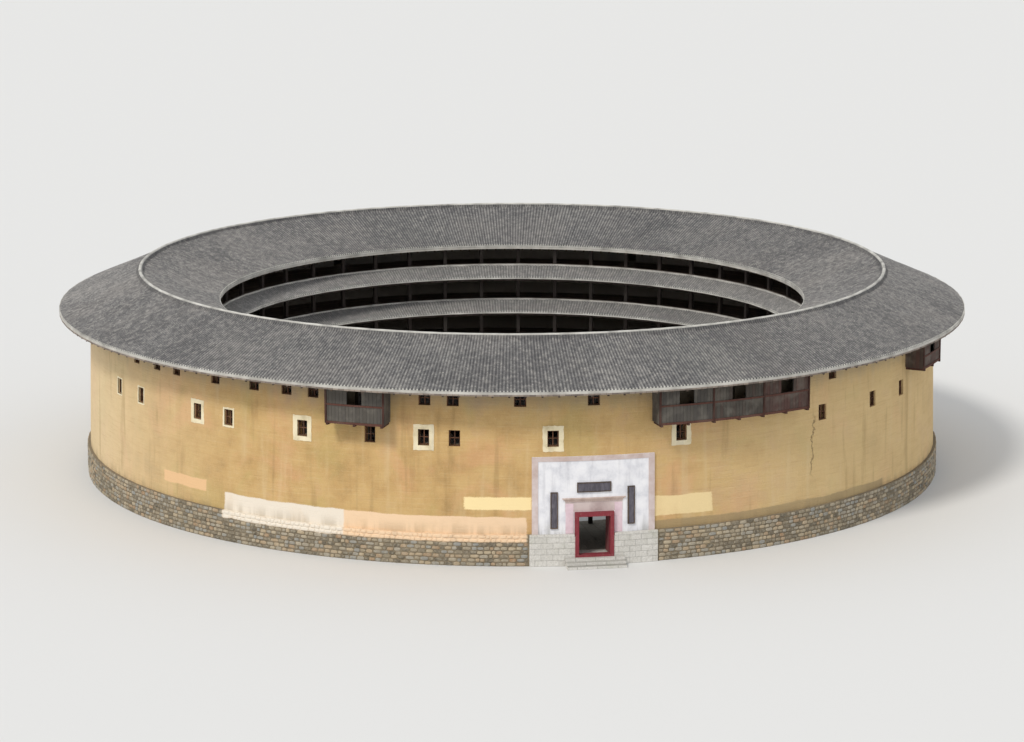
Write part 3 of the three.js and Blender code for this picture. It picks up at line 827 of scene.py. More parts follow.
def rafters():
    pile = Pile(21)
    for i in range(RAFTERS):
        angle = (i + 0.5) * 360 / RAFTERS
        eave_start = WALL_HEAD["outer"] + STOPS_SHORT["wall"]
        if over_lookout(angle):
            eave_start = LOOKOUT_FRONT + STOPS_SHORT["lookout"]
        spans = [(eave_start, OUTER_EAVE["radius"] - STOPS_SHORT["outer_eave"]),
                 (POST_PLATE["outer"], RIDGE_RADIUS - STOPS_SHORT["ridge"]),
                 (RIDGE_RADIUS + STOPS_SHORT["ridge"], WALL_HEAD["inner"]),
                 (INNER_EAVE["radius"] + STOPS_SHORT["inner_eave"], POST_PLATE["inner"])]
        for span in spans:
            pile.box(angle, (-RAFTER["half"], RAFTER["half"]), span, (-RAFTER["deep"], -RAFTER["clear"]),
                     lift=roof_under)
    make_pile("rafters", pile, TIMBER_OUT)


rafters()

# %% [markdown]
# ## Floor joists
# Joists reach from the gallery beam to a ledge in the earth wall, two to a bay, and their ends show
# under each floor from the courtyard. The ledges step back as the wall gets thinner, so each
# storey's joists have their own length.

# %% Floor joists
JOISTS = 2 * BAYS
JOIST = {"half": 0.04, "start": 12.15, "under": 0.102, "deep": 0.22}
LEDGES = {"second": 15.75, "third": 15.85, "fourth": 15.95}


def joists():
    pile = Pile(22)
    for storey, ledge in LEDGES.items():
        top = FLOOR_TOPS[storey]
        for k in range(JOISTS):
            pile.box((k + 0.5) * 360 / JOISTS, (-JOIST["half"], JOIST["half"]), (JOIST["start"], ledge),
                     (top - JOIST["deep"], top - JOIST["under"]))
    make_pile("floor_joists", pile, TIMBER_OUT)


joists()

# %% [markdown]
# ## Galleries
# Each gallery has a boarded parapet between the posts, with a rail and a hand board on top. Grooves
# in a bump would do from the hillside, but not from the courtyard: light through a gap is what makes
# boards read as boards. So the boards are separate, and their gaps are real.

# %% Parapet boards and rails
PARAPET_BOARDS = 12
BOARD_GAP = 0.004
PARAPET = {"foot": -0.24, "board_top": 0.40, "rail_top": 0.476, "hand_board_top": 0.52}
BOARDS_OUT, RAILS_OUT, HAND_BOARD_OUT = (-0.012, 0.004), (-0.022, 0.001), (-0.03, 0.06)


def parapet_boards(storey):
    floor_top = FLOOR_TOPS[storey]
    pile = Pile(30 + int(floor_top * 10))
    inner = PARAPET_FACE * math.cos(math.radians(BAY / 2))
    half_run = PARAPET_FACE * math.sin(math.radians(BAY / 2))
    wide = 2 * half_run / PARAPET_BOARDS
    foot, board_top, rail_top, hand_top = [floor_top + height for height in PARAPET.values()]
    boards, rails, hand_board = [[inner + out for out in pair]
                                 for pair in (BOARDS_OUT, RAILS_OUT, HAND_BOARD_OUT)]
    for bay in range(BAYS):
        for k in range(PARAPET_BOARDS):
            start = -half_run + k * wide
            pile.box(bay * BAY, (start + BOARD_GAP, start + wide - BOARD_GAP), boards, (foot, board_top))
        pile.box(bay * BAY, (-half_run, half_run), hand_board, (rail_top, hand_top))
        pile.box(bay * BAY, (-half_run, half_run), rails, (board_top, rail_top))
    make_pile(f"parapet_boards_{storey}", pile, TIMBER_UP)


for storey in LEDGES:
    parapet_boards(storey)

# %% [markdown]
# ## Rubble plinth: the finishes
# River stones in lime mortar carry the earth, and keep its foot out of the splash. Stone and mortar
# are two finishes: each stone takes its colour from its tone, slate, buff or rust, and the solid
# plinth behind shows as mortar. Left of the door the lime wash was carried down over the top stones,
# so the same mask lies on both finishes, and on the outer face only.

# %% Stone and mortar finishes
WASH_FOOT = 0.86
PLINTH_FACE = 16.3


def foot_wash(job, colour):
    """The wash runs down over the top stones, peach near the door and nearly white further off."""
    ragged = job.cloud(2.5, 5)
    fray = (ragged - 0.5) * 0.5
    above = (job.z + fray * 0.25).rise(WASH_FOOT - 0.03, WASH_FOOT + 0.03)
    above = above * job.radius.rise(PLINTH_FACE, PLINTH_FACE + 0.05)
    for band in WASHED_BANDS[:2]:
        mask = (job.angle + fray).within(band["from"], band["to"], 0.2) * above
        colour = job.mix(mask * (ragged.rise(0.3, 0.5) * 0.2 + 0.72), colour, band["colour"])
    return colour


def rubble_finish():
    job = Finish("river_stone", 0.88)
    grain = job.cloud(9, 5, rough=0.65)
    colour = job.ramp(job.tone(), (0.0, "665f52"), (0.25, "847a69"), (0.45, "a2957f"), (0.62, "8e8f8c"),
                      (0.8, "b3a48a"), (1.0, "a08468"))
    colour = job.mix(grain.rise(0.4, 0.7) * 0.45, colour, "c2b8a4")
    colour = job.mix(job.cloud(0.6, 4).rise(0.5, 0.7) * 0.3, colour, "6b6654")
    return job.done(foot_wash(job, colour), grain, 0.01, 0.6)


def mortar_finish():
    job = Finish("plinth_mortar", 0.95)
    grain = job.cloud(12, 5, rough=0.7)
    patch = job.cloud(0.8, 5)
    pebbles = job.node("ShaderNodeTexVoronoi", {"feature": "DISTANCE_TO_EDGE"},
                       {"Vector": job.where, "Scale": 5.0})
    colour = job.ramp(grain * 0.5 + patch * 0.5, (0.35, "6a604f"), (0.6, "94866d"))
    colour = job.mix(pebbles.rise(0.02, 0.09) * 0.6, colour, "857b6b")
    return job.done(foot_wash(job, colour), pebbles.rise(0.0, 0.15) + grain * 0.3, 0.02, 0.7)


MORTAR = mortar_finish()

# %% [markdown]
# ## Rubble plinth: the stones
# A displaced surface would melt the stones into one skin. Each real stone has its own edge, with a
# sunk joint round it, so each is a solid here: an uneven outline, a smaller one further out, and a
# peak. A circle pushed towards the corners of its square gives the outline of a water-worn stone.
# Courses keep nearly level, as a mason lays them.

# %% Stones
COURSES = 8
STONE_POINTS = 8
STONE_LONG = (0.14, 0.34)
STONE_PROUD = (0.018, 0.035)
STONE_SEAT = PLINTH["radius"] * (math.cos(math.radians(WALL_RING["centre"])) + 0.0003)
PORTAL_HALF = 8.05
JOINT, BED_JOINT = 0.008, 0.006
SHORTEST = 0.3
SQUARENESS = 0.66
UNEVEN = (0.9, 1.03)
STONE_SUNK, OFF_GROUND = 0.03, 0.002
STONE_RINGS = [(0.97, 0.35), (0.66, 0.92)]
FOOT_WAVER, HEAD_WAVER = (-0.012, 0.014), (-0.014, 0.012)


def plump(part):
    """Pushes a point of a circle towards the corners of its square."""
    return math.copysign(abs(part) ** SQUARENESS, part)


def stone(pile, angle, wide, low, high):
    """Three outlines and a peak. The first outline is sunk in the mortar."""
    dice = pile.dice
    middle, half_high = (low + high) / 2, (high - low) / 2
    proud = dice.uniform(*STONE_PROUD)
    uneven = [dice.uniform(*UNEVEN) for _ in range(STONE_POINTS)]
    points = []
    for share, out in [(1.0, -STONE_SUNK)] + [(share, out * proud) for share, out in STONE_RINGS]:
        for k in range(STONE_POINTS):
            turn = 2 * math.pi * (k + 0.5) / STONE_POINTS
            t = wide / 2 * plump(math.cos(turn)) * uneven[k] * share
            z = middle + half_high * plump(math.sin(turn)) * uneven[k] * share
            points.append(place(angle, t, STONE_SEAT + out, max(z, OFF_GROUND)))
    points.append(place(angle, 0, STONE_SEAT + proud, middle))
    n = STONE_POINTS
    faces = [tuple(range(n - 1, -1, -1))]
    for a, b in ((0, n), (n, 2 * n)):
        faces += [(a + k, a + (k + 1) % n, b + (k + 1) % n, b + k) for k in range(n)]
    faces += [(2 * n + k, 2 * n + (k + 1) % n, 3 * n) for k in range(n)]
    pile.add(points, faces)


def plinth_stones():
    pile = Pile(41)
    for course in range(COURSES):
        low = PLINTH["top"] * course / COURSES + BED_JOINT
        top = PLINTH["top"] * (course + 1) / COURSES - BED_JOINT
        angle = PORTAL_HALF
        while angle < 360 - PORTAL_HALF - SHORTEST:
            step = math.degrees(pile.dice.uniform(*STONE_LONG) / PLINTH["radius"])
            step = min(step, 360 - PORTAL_HALF - angle)
            wide = math.radians(step) * PLINTH["radius"] - JOINT
            stone(pile, angle + step / 2, wide, low + pile.dice.uniform(*FOOT_WAVER),
                  top + pile.dice.uniform(*HEAD_WAVER))
            angle += step
    make_pile("plinth_stones", pile, rubble_finish())


plinth_stones()

# %% [markdown]
# ## Windows
# Small and high: the lower walls have none, for safety. The openings are already cut through the
# earth. Each gets a timber frame near the face, with a post and a rail that cross in it. They could
# be a flat picture of a window, but the opening is deep, and real bars throw their shadow into it.
# The unseen back repeats the front.

# %% Window frames
THIRD = {"half": 0.2, "low": 4.225, "high": 4.8}
FOURTH = {"half": 0.2125, "low": 5.65, "high": 6.15}
THIRD_ANGLES = [-72.5, -66, -53.5, -48, -36.7, -27.6, -20.8, -17, -5, 11.2, 32.8, 43.4, 51.5]
FOURTH_ANGLES = [-67.2, -62, -57.7, -50.3, -43.9, -39, -35.2, -20.7, -17.2, -9, 0, 34.7]
FRAME = {"wide": 0.035, "out": (-0.16, -0.08)}
BARS = {"post": 0.017, "rail": 0.015, "out": (-0.14, -0.10)}


def both_halves(angles):
    return [(angle, turn) for turn in (0, 180) for angle in angles]


def window(pile, angle, size):
    half, low, high = size["half"], size["low"], size["high"]
    rim, post, middle = FRAME["wide"], BARS["post"], (low + high) / 2
    rail = (middle - BARS["rail"], middle + BARS["rail"])
    for across, up in (((-half, -half + rim), (low, high)), ((half - rim, half), (low, high)),
                       ((-half + rim, half - rim), (low, low + rim)),
                       ((-half + rim, half - rim), (high - rim, high))):
        pile.box(angle, across, FRAME["out"], up, wall_face)
    for across, up in (((-post, post), (low + rim, high - rim)), ((-half + rim, -post), rail),
                       ((post, half - rim), rail)):
        pile.box(angle, across, BARS["out"], up, wall_face)


def window_frames():
    pile = Pile(51)
    for angles, size in ((THIRD_ANGLES, THIRD), (FOURTH_ANGLES, FOURTH)):
        for angle, turn in both_halves(angles):
            window(pile, angle + turn, size)
    return pile


WINDOW_TIMBER = timber("window_timber", "3d2a20", "6e4c38", "up", weathered="7a6656", bleach=0.2)
make_pile("window_frames", window_frames(), WINDOW_TIMBER)

# %% [markdown]
# ## Plaster margins
# Some windows are outlined with a hand-laid margin of cream lime. Painted on the earth as a mask it
# would have no edge to catch the light. So it is a flat ring with a wavering outer edge, sunk into
# the wall and a few millimetres proud of it. The same plaster recipe, whiter, covers the portal, where
# the field over the door is washed a dull rose.

# %% Plaster finish and window margins
MARGINS = {-72.5: 0.05, -66: 0.05, -53.5: 0.15, -48: 0.07, -36.7: 0.17, -20.8: 0.17, -5: 0.17, 11.2: 0.17}
MARGIN_STEPS = 7
MARGIN_OUT = (-0.04, 0.008)
MARGIN_WAVER = 0.014
ROSE_FIELD = {"half": 3.55, "low": 1.9, "high": 2.33}


def plaster_finish(name, light, middle, dark, dirt, painted=None):
    job = Finish(name, 0.85)
    trowel = job.cloud(2.2, 5, rough=0.6)
    runs = job.cloud(1.0, 5, where=job.stretched(5, 5, 0.5))
    colour = job.ramp(trowel, (0.3, dark), (0.5, middle), (0.7, light))
    colour = job.mix(runs.rise(0.5, 0.72) * dirt, colour, "a3a3ab")
    colour = job.mix(job.z.fall(1.1, 1.7) * runs.rise(0.35, 0.6) * 0.5, colour, "9c9a92")
    if painted:
        colour = painted(job, colour, trowel)
    return job.done(colour, trowel + job.cloud(18, 3) * 0.2, 0.008, 0.5)


def edge_points(half, low, high, waver, dice):
    """Points round a rectangle, anticlockwise seen from outside, each a little off its line."""
    corners = [(-half, low), (half, low), (half, high), (-half, high)]
    points = []
    for (t0, z0), (t1, z1) in zip(corners, corners[1:] + corners[:1]):
        for k in range(MARGIN_STEPS):
            s = k / MARGIN_STEPS
            points.append((t0 + (t1 - t0) * s + dice.uniform(-waver, waver),
                           z0 + (z1 - z0) * s + dice.uniform(-waver, waver)))
    return points


def margin(pile, angle, size, width):
    half, low, high = size["half"], size["low"], size["high"]
    inner = edge_points(half, low, high, 0.0, pile.dice)
    outer = edge_points(half + width, low - width, high + width, MARGIN_WAVER, pile.dice)
    points = [place(angle, t, wall_face(z) + out, z) for out in MARGIN_OUT for t, z in inner + outer]
    n = len(inner)
    faces = []
    for i in range(n):
        k = (i + 1) % n
        faces += [(k, n + k, n + i, i), (2 * n + i, 3 * n + i, 3 * n + k, 2 * n + k),
                  (n + i, n + k, 3 * n + k, 3 * n + i), (k, i, 2 * n + i, 2 * n + k)]
    pile.add(points, faces)


def over_door(job, colour, trowel):
    """The field between the door and the moulding above it is washed a dull rose."""
    mask = job.angle.within(-ROSE_FIELD["half"], ROSE_FIELD["half"], 0.12)
    mask = mask * job.z.within(ROSE_FIELD["low"], ROSE_FIELD["high"], 0.03)
    rose = job.ramp(trowel, (0.35, "ab938d"), (0.62, "c8b5af"))
    return job.mix(mask * 0.85, colour, rose)


PLASTER = plaster_finish("white_plaster_panel", "f3f3f5", "eaeaee", "d5d6dc", 0.28, over_door)
CREAM_PLASTER = plaster_finish("cream_window_plaster", "f2e6c6", "e9dcba", "cfc09c", 0.2)
margins = Pile(52)
for angle, turn in both_halves(MARGINS):
    margin(margins, angle + turn, THIRD, MARGINS[angle])
make_pile("window_margins", margins, CREAM_PLASTER)

# %% [markdown]
# ## Lookouts: the boards
# Boarded boxes hang on the wall under the eave, from where the clan watched the approach. The boxes
# are solids, open to the room behind. What tells their age is the boards: each bay was renewed at
# another time and has its own colour. So each board is a thin solid with a tone near its bay's, and
# the finish runs from grey, for the low tones, to reddish brown.

# %% Lookout boards
OPENING = {"half": 0.275, "low": 5.675, "high": 6.225}
BOARD_WIDE = 0.13
BOARD_SKIN = (-0.004, 0.012)
END_BOARDS = 5
END_SKIN, END_GAP = (0.001, 0.013), 0.003
END_RUN = (wall_face(5.6) - 0.02, LOOKOUT_FRONT + 0.004)
LOW_POINT = LOOKOUT_FRONT - 0.025
CLEAR_OF_ROOF, ABOVE_FOOT, SIDE_LAP = 0.01, 0.01, 0.005


def bay_of(form):
    """How many degrees one bay of a lookout takes."""
    return (form["to"] - form["from"]) / form["bays"]


def board_tone(pile, tone):
    return min(1.0, max(0.0, tone + pile.dice.uniform(-0.15, 0.15)))


def front_boards(pile, angle, span, low, high, tone):
    """Upright boards over a stretch of the front, which has flat sides like the wall."""
    count = max(1, round(math.radians(span) * LOOKOUT_FRONT / BOARD_WIDE))
    step = span / count
    half = math.radians(step) * LOOKOUT_FRONT / 2 - BOARD_GAP
    for k in range(count):
        at = angle + (k + 0.5) * step
        seat = LOOKOUT_FRONT * float(flat_side(at))
        pile.box(at, (-half, half), [seat + out for out in BOARD_SKIN], (low, high),
                 tone=board_tone(pile, tone))


def bay_boards(pile, start, bay, bottom, tone):
    """Boards below, above and on both sides of the bay's opening."""
    top = roof_under(LOOKOUT_FRONT) - CLEAR_OF_ROOF
    hole = math.degrees(OPENING["half"] / LOOKOUT_FRONT)
    side = bay / 2 - hole
    front_boards(pile, start, side, OPENING["low"] - SIDE_LAP, top, tone)
    front_boards(pile, start + bay - side, side, OPENING["low"] - SIDE_LAP, top, tone)
    front_boards(pile, start, bay, bottom + ABOVE_FOOT, OPENING["low"], tone)
    front_boards(pile, start + side, 2 * hole, OPENING["high"], top, tone)


def end_boards(pile, form, turn):
    """Boards on the two ends of the box, which face along the wall."""
    top = roof_under(LOW_POINT) - CLEAR_OF_ROOF
    inner, outer = END_RUN
    wide = (outer - inner) / END_BOARDS
    thin, thick = END_SKIN
    for at, across, tone in ((form["from"], (-thick, -thin), form["tones"][0]),
                             (form["to"], (thin, thick), form["tones"][-1])):
        for k in range(END_BOARDS):
            start = inner + k * wide
            pile.box(at + turn, across, (start + END_GAP, start + wide - END_GAP),
                     (form["bottom"] + ABOVE_FOOT, top), tone=board_tone(pile, tone))


def board_finish():
    job = Finish("lookout_boarding", 0.85)
    fibres = job.cloud(4, 6, where=job.stretched(9, 9, 0.8), rough=0.65, warp=0.4)
    colour = job.ramp(job.tone() * 0.8 + fibres * 0.2, (0.1, "4a4643"), (0.3, "5a5650"), (0.55, "4a453f"),
                      (0.75, "54453f"), (0.95, "5c423c"))
    colour = job.mix(job.cloud(1.5, 5).rise(0.45, 0.68) * 0.4, colour, "857f75")
    return job.done(colour, fibres, 0.006, 0.7)


boards = Pile(61)
for form in LOOKOUTS:
    bay = bay_of(form)
    for turn in (0, 180):
        for i, tone in enumerate(form["tones"]):
            bay_boards(boards, form["from"] + turn + i * bay, bay, form["bottom"], tone)
        end_boards(boards, form, turn)
BOARDS = board_finish()
make_pile("lookout_boards", boards, BOARDS)

# %% [markdown]
# ## Lookouts: posts, rails and brackets
# The heavy timbers frame the boards: a post at each end of a bay, a rail at the foot and one below
# the openings, and brackets that carry the box from the wall. Rails follow the curve in four short
# runs to a bay, which is what a carpenter would do too, as bent timber is dear.

# %% Lookout posts and rails
RAIL_RUNS = 4
POST_OUT, RAIL_OUT, BRACKET_OUT = (17.05, 17.115), (17.05, 17.105), (16.35, 17.13)
LOOKOUT_POST = {"half": 0.035, "inset": 0.12, "below": 0.02}
LOOKOUT_RAIL = {"below": 0.03, "above": 0.05, "sill": 0.06}
RAIL_REACH = LOOKOUT_FRONT + 0.025
BRACKET = {"half": 0.04, "inset": 0.3, "low": 0.09, "high": 0.003}


def lookout_posts(pile, form, turn, bay):
    """A post at each end of a bay. The two outermost stand a little in, to stay on the box."""
    top = roof_under(LOOKOUT_FRONT) - CLEAR_OF_ROOF
    half, inset = LOOKOUT_POST["half"], LOOKOUT_POST["inset"]
    for i in range(form["bays"] + 1):
        shift = inset if i == 0 else -inset if i == form["bays"] else 0
        pile.box(form["from"] + turn + i * bay + shift, (-half, half), POST_OUT,
                 (form["bottom"] - LOOKOUT_POST["below"], top), tone=0.2)


def lookout_rails(pile, form, turn, bay):
    """Rails at the foot and below the openings, in short runs that follow the curve."""
    half = math.radians(bay / RAIL_RUNS / 2) * RAIL_REACH
    for k in range(form["bays"] * RAIL_RUNS):
        at = form["from"] + turn + (k + 0.5) * bay / RAIL_RUNS
        foot_rail = (form["bottom"] - LOOKOUT_RAIL["below"], form["bottom"] + LOOKOUT_RAIL["above"])
        sill_rail = (OPENING["low"] - LOOKOUT_RAIL["sill"], OPENING["low"])
        for up in (foot_rail, sill_rail):
            pile.box(at, (-half, half), RAIL_OUT, up, tone=0.6)


def lookout_brackets(pile, form, turn):
    count = form["bays"] * 2 + 1
    spread = form["to"] - form["from"] - 2 * BRACKET["inset"]
    up = (form["bottom"] - BRACKET["low"], form["bottom"] - BRACKET["high"])
    for i in range(count):
        at = form["from"] + turn + BRACKET["inset"] + i * spread / (count - 1)
        pile.box(at, (-BRACKET["half"], BRACKET["half"]), BRACKET_OUT, up, tone=0.3)


heavy = Pile(62)
for form in LOOKOUTS:
    for turn in (0, 180):
        lookout_posts(heavy, form, turn, bay_of(form))
        lookout_rails(heavy, form, turn, bay_of(form))
        lookout_brackets(heavy, form, turn)
LOOKOUT_TIMBER = timber("lookout_timber", "33241f", "6a463c", "up", bleach=0.15)
make_pile("lookout_posts_and_rails", heavy, LOOKOUT_TIMBER)

# %% [markdown]
# ## The portal: plates on a leaning curve
# The way in is the one showpiece: a white panel with a raised border, a moulded lintel, and a strip
# of mauve wash on either side of the door. The panel is a solid already. Its trimmings are thin
# plates that lie on it, and a boolean would be a heavy way to get them. Each is laid in short flat
# runs that lean with the wall.

# %% Border, lintel and strips
PANEL_HALF, PANEL_TOP = 7.6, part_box("portal_plaster")[1].z
PANEL_FOOT = 1.13
PANEL_OUT = 0.0505
PLATE_SUNK, PLATE_LAP = 0.02, 0.001
BORDER_HIGH, BORDER_ANGLE, BORDER_THICK = 0.16, 0.75, 0.018
CORNICE = {"half": 3.9, "low": 2.36, "high": 2.40, "thick": 0.05}
FILLET = {"half": 3.7, "low": 2.32, "high": 2.359, "thick": 0.03}
DENTILS = 29
DENTIL = {"apart": 0.25, "half": 0.02, "low": 2.27, "high": 2.319, "thick": 0.026}
STRIP = {"inner": 2.55, "outer": 3.5, "low": 1.14, "high": 2.2, "thick": 0.009}


def curved_plate(pile, start, end, low, high, out, step=0.6):
    """A plate on the wall from one angle to another, in short flat runs."""
    count = max(1, round((end - start) / step))
    run = (end - start) / count
    half = math.radians(run) * WALL_RADIUS / 2 + PLATE_LAP
    for k in range(count):
        at = start + (k + 0.5) * run
        share = float(flat_side(at))
        pile.box(at, (-half, half), out, (low, high), lambda z: wall_face(z) * share)


def proud_of_panel(thick):
    """How far out a plate starts, sunk in the panel, and how far out it ends."""
    return (PANEL_OUT - PLATE_SUNK, PANEL_OUT + thick)


def both_sides(inner, outer):
    return [(-outer, -inner), (inner, outer)]


def tinted_plaster(name, light, dark):
    job = Finish(name, 0.88)
    cloud = job.cloud(2.0, 5, rough=0.6)
    runs = job.cloud(1.0, 5, where=job.stretched(5, 5, 0.5))
    colour = job.ramp(cloud, (0.3, dark), (0.65, light))
    colour = job.mix(runs.rise(0.5, 0.7) * 0.4, colour, dark)
    return job.done(colour, cloud, 0.006, 0.5)


border_foot, border_head = PANEL_TOP - BORDER_HIGH, PANEL_TOP - 0.002
border = Pile(71)
curved_plate(border, -PANEL_HALF, PANEL_HALF, border_foot, border_head, proud_of_panel(BORDER_THICK))
for start, end in both_sides(PANEL_HALF - BORDER_ANGLE, PANEL_HALF):
    curved_plate(border, start, end, PANEL_FOOT, border_foot, proud_of_panel(BORDER_THICK))
make_pile("portal_border", border, tinted_plaster("border_plaster", "d9cdcb", "bfaaa2"))

lintel = Pile(72)
for course in (CORNICE, FILLET):
    curved_plate(lintel, -course["half"], course["half"], course["low"], course["high"],
                 proud_of_panel(course["thick"]), step=0.5)
for k in range(DENTILS):
    lintel.box((k - DENTILS // 2) * DENTIL["apart"], (-DENTIL["half"], DENTIL["half"]),
               proud_of_panel(DENTIL["thick"]), (DENTIL["low"], DENTIL["high"]), wall_face)
make_pile("portal_lintel", lintel, tinted_plaster("lintel_moulding", "cfbdb3", "a68e84"))

strips = Pile(73)
for start, end in both_sides(STRIP["inner"], STRIP["outer"]):
    curved_plate(strips, start, end, STRIP["low"], STRIP["high"], proud_of_panel(STRIP["thick"]),
                 step=0.95)
make_pile("doorway_side_strips", strips, tinted_plaster("mauve_wash", "ead6dc", "cfb3bd"))

# %% [markdown]
# ## The portal: lacquered boards
# A board over the door and one on either side are dark and lacquered, and stay bare here. The boards
# are solids. A raised rim runs round each, made with the same curved plates, and the lacquer has
# dulled along the grain, so roughness follows the fibres.

# %% Black boards
BARE_BOARDS = [(-2.1, 2.1, 2.6, 2.95), (-5.35, -4.45, 1.325, 2.625), (4.15, 5.05, 1.4, 2.75)]
RIM_WIDE, RIM_OUT = 0.03, (0.07, 0.1)


def lacquer_finish():
    job = Finish("black_lacquer_board", 0.5)
    fibres = job.cloud(3, 5, where=job.stretched(8, 8, 1.2))
    colour = job.ramp(fibres, (0.3, "48454b"), (0.7, "6d6972"))
    colour = job.mix(job.cloud(5, 4).rise(0.55, 0.75) * 0.35, colour, "87828a")
    job.roughness(0.45 + fibres * 0.3)
    return job.done(colour, fibres, 0.003, 0.5)


def rim_round(pile, start, end, low, high):
    wide = math.degrees(RIM_WIDE / WALL_RADIUS)
    for a, b, foot, head in ((start, end, high - RIM_WIDE, high), (start, end, low, low + RIM_WIDE),
                             (start, start + wide, low + RIM_WIDE, high - RIM_WIDE),
                             (end - wide, end, low + RIM_WIDE, high - RIM_WIDE)):
        curved_plate(pile, a, b, foot, head, RIM_OUT, step=0.7)


rims = Pile(74)
for board in BARE_BOARDS:
    rim_round(rims, *board)
LACQUER = lacquer_finish()
make_pile("board_rims", rims, tinted_plaster("board_rim", "6b5a4a", "3f352e"))

# %% [markdown]
# ## The door
# Two leaves of thick planks, held by three battens on the courtyard side, turn on pivots behind the
# red frame. Grooves in a bump would vanish edge-on, so planks are thin skins with real gaps. Each
# piece on a leaf rides with that leaf, so that it swings with the door. In the frame's own pose the
# leaves stand open, so a leaf's planks run along Y.

# %% Door leaves
HINGE = {"x": 0.6, "y": -16.3}
LEAF = {"half": 0.0225, "wide": 0.594, "low": 0.306, "high": 1.7437}
PLANKS = 5
PLANK = {"start": 0.04, "gap": 0.003, "short": 0.004, "skin": (-0.002, 0.006)}
BATTEN = {"half": 0.035, "inset": 0.22, "start": 0.05, "stop": 0.02, "skin": (0.004, 0.022)}


def block(pile, x, y, z, tone=None):
    """A box along X, Y and Z."""
    corners = [(a, b, c) for a in x for b in y for c in z]
    pile.add(corners, [face[::-1] for face in BOX_FACES], tone)


def leaf_trim(side):
    """Planks on both faces of an open leaf, and battens on the face that turns to the courtyard."""
    pile = Pile(80 + side)
    x = side * HINGE["x"]
    wide = (LEAF["wide"] - PLANK["start"]) / PLANKS
    up = (LEAF["low"] + PLANK["short"], LEAF["high"] - PLANK["short"])
    for face in (-1, 1):
        skin = sorted(x + face * (LEAF["half"] + out) for out in PLANK["skin"])
        for k in range(PLANKS):
            start = HINGE["y"] + PLANK["start"] + k * wide
            block(pile, skin, (start + PLANK["gap"], start + wide - PLANK["gap"]), up)
    inside = sorted(x + side * (LEAF["half"] + out) for out in BATTEN["skin"])
    run = (HINGE["y"] + BATTEN["start"], HINGE["y"] + LEAF["wide"] - BATTEN["stop"])
    low, high = LEAF["low"] + BATTEN["inset"], LEAF["high"] - BATTEN["inset"]
    for z in (low, (low + high) / 2, high):
        block(pile, inside, run, (z - BATTEN["half"], z + BATTEN["half"]), 0.2)
    return pile


def door_finish(name, dark, light, chips):
    job = Finish(name, 0.7)
    fibres = job.cloud(4, 6, where=job.stretched(7, 7, 0.8), rough=0.6, warp=0.3)
    colour = job.ramp(fibres * 0.6 + job.tone() * 0.4, (0.25, dark), (0.7, light))
    colour = job.mix(job.cloud(9, 6, rough=0.65).rise(0.58, 0.66) * chips, colour, "8d7a6c")
    colour = job.mix(job.cloud(1.5, 4).rise(0.45, 0.7) * 0.25, colour, dark)
    job.roughness(0.6 + fibres * 0.25)
    return job.done(colour, fibres, 0.005, 0.6)


DOOR = door_finish("door_planks", "633738", "965b5b", 0.4)
RED = door_finish("red_frame_paint", "7f323a", "a9525a", 0.4)
for side, word in ((-1, "left"), (1, "right")):
    make_pile(f"door_planks_{word}", leaf_trim(side), DOOR, body=f"{word}_leaf")

# %% [markdown]
# ## Dressed stone
# Threshold, steps and the portal's foot are dressed granite, a little green with damp. Its blocks
# are large and flush, so unlike the rubble they need no geometry: joints are thin lines at whole
# numbers of blocks. Only the coping has its own stones, because it shows an edge against the plaster.

# %% Dressed stone finishes and coping
STONE_AT = 16.6
FOOT_HALF, DOORWAY_HALF = 7.9, 2.45
COPING = {"stones": 6, "out": (0.06, 0.174), "up": (1.0505, 1.128), "gap": 0.002}


def dressed_finish(name, block_wide, block_high):
    job = Finish(name, 0.8)
    grain = job.cloud(16, 5, rough=0.7)
    row = (job.z / block_high).floor()
    along = job.angle * (math.radians(1) * STONE_AT / block_wide) + row * 0.5
    joint = along.off_whole().fall(0.0, 0.025)
    seams = joint.math("MAXIMUM", (job.z / block_high).off_whole().fall(0.0, 0.05))
    colour = job.ramp(grain, (0.3, "bfbcb5"), (0.55, "d8d5cf"), (0.75, "e4e2dd"))
    colour = job.mix(job.chance(along.floor(), row) * 0.25, colour, "a8a69d")
    colour = job.mix(job.cloud(1.1, 5).rise(0.5, 0.75) * 0.35, colour, "a3a68f")
    colour = job.mix(seams * 0.6, colour, "5f5f55")
    return job.done(colour, grain * 0.3 - seams, 0.008, 0.7)


STEPS = dressed_finish("step_stone", 0.7, 0.101)
PORTAL_STONE = dressed_finish("portal_stone", 0.42, 0.21)
COPING_STONE = dressed_finish("coping_stone", 40, 0.33)
coping = Pile(75)
wide = (FOOT_HALF - DOORWAY_HALF) / COPING["stones"]
half = math.radians(wide) * WALL_RADIUS / 2 - COPING["gap"]
for side in (-1, 1):
    for k in range(COPING["stones"]):
        at = side * (DOORWAY_HALF + (k + 0.5) * wide)
        coping.box(at, (-half, half), COPING["out"], COPING["up"], wall_face)
make_pile("portal_coping", coping, COPING_STONE)

# %% [markdown]
# ## Floors and roof boarding
# The ground platform is flagged, the upper floors are boarded round the ring, and the underside of
# the roof is boarded down the slope. All are seen only from inside or from below, so their joints
# are lines in the finish. The rims of the roof, at the two eaves, are washed with lime like the lip
# boards beside them.

# %% Floor and boarding finishes
FLAG_ANGLE, FLAG_DEEP = 2.0, 0.55
FLOOR_BOARD = 0.11
ROOF_BOARDS = 540
OUTER_RIM = {"radius": 17.54, "height": 6.325}
INNER_RIM = 11.366


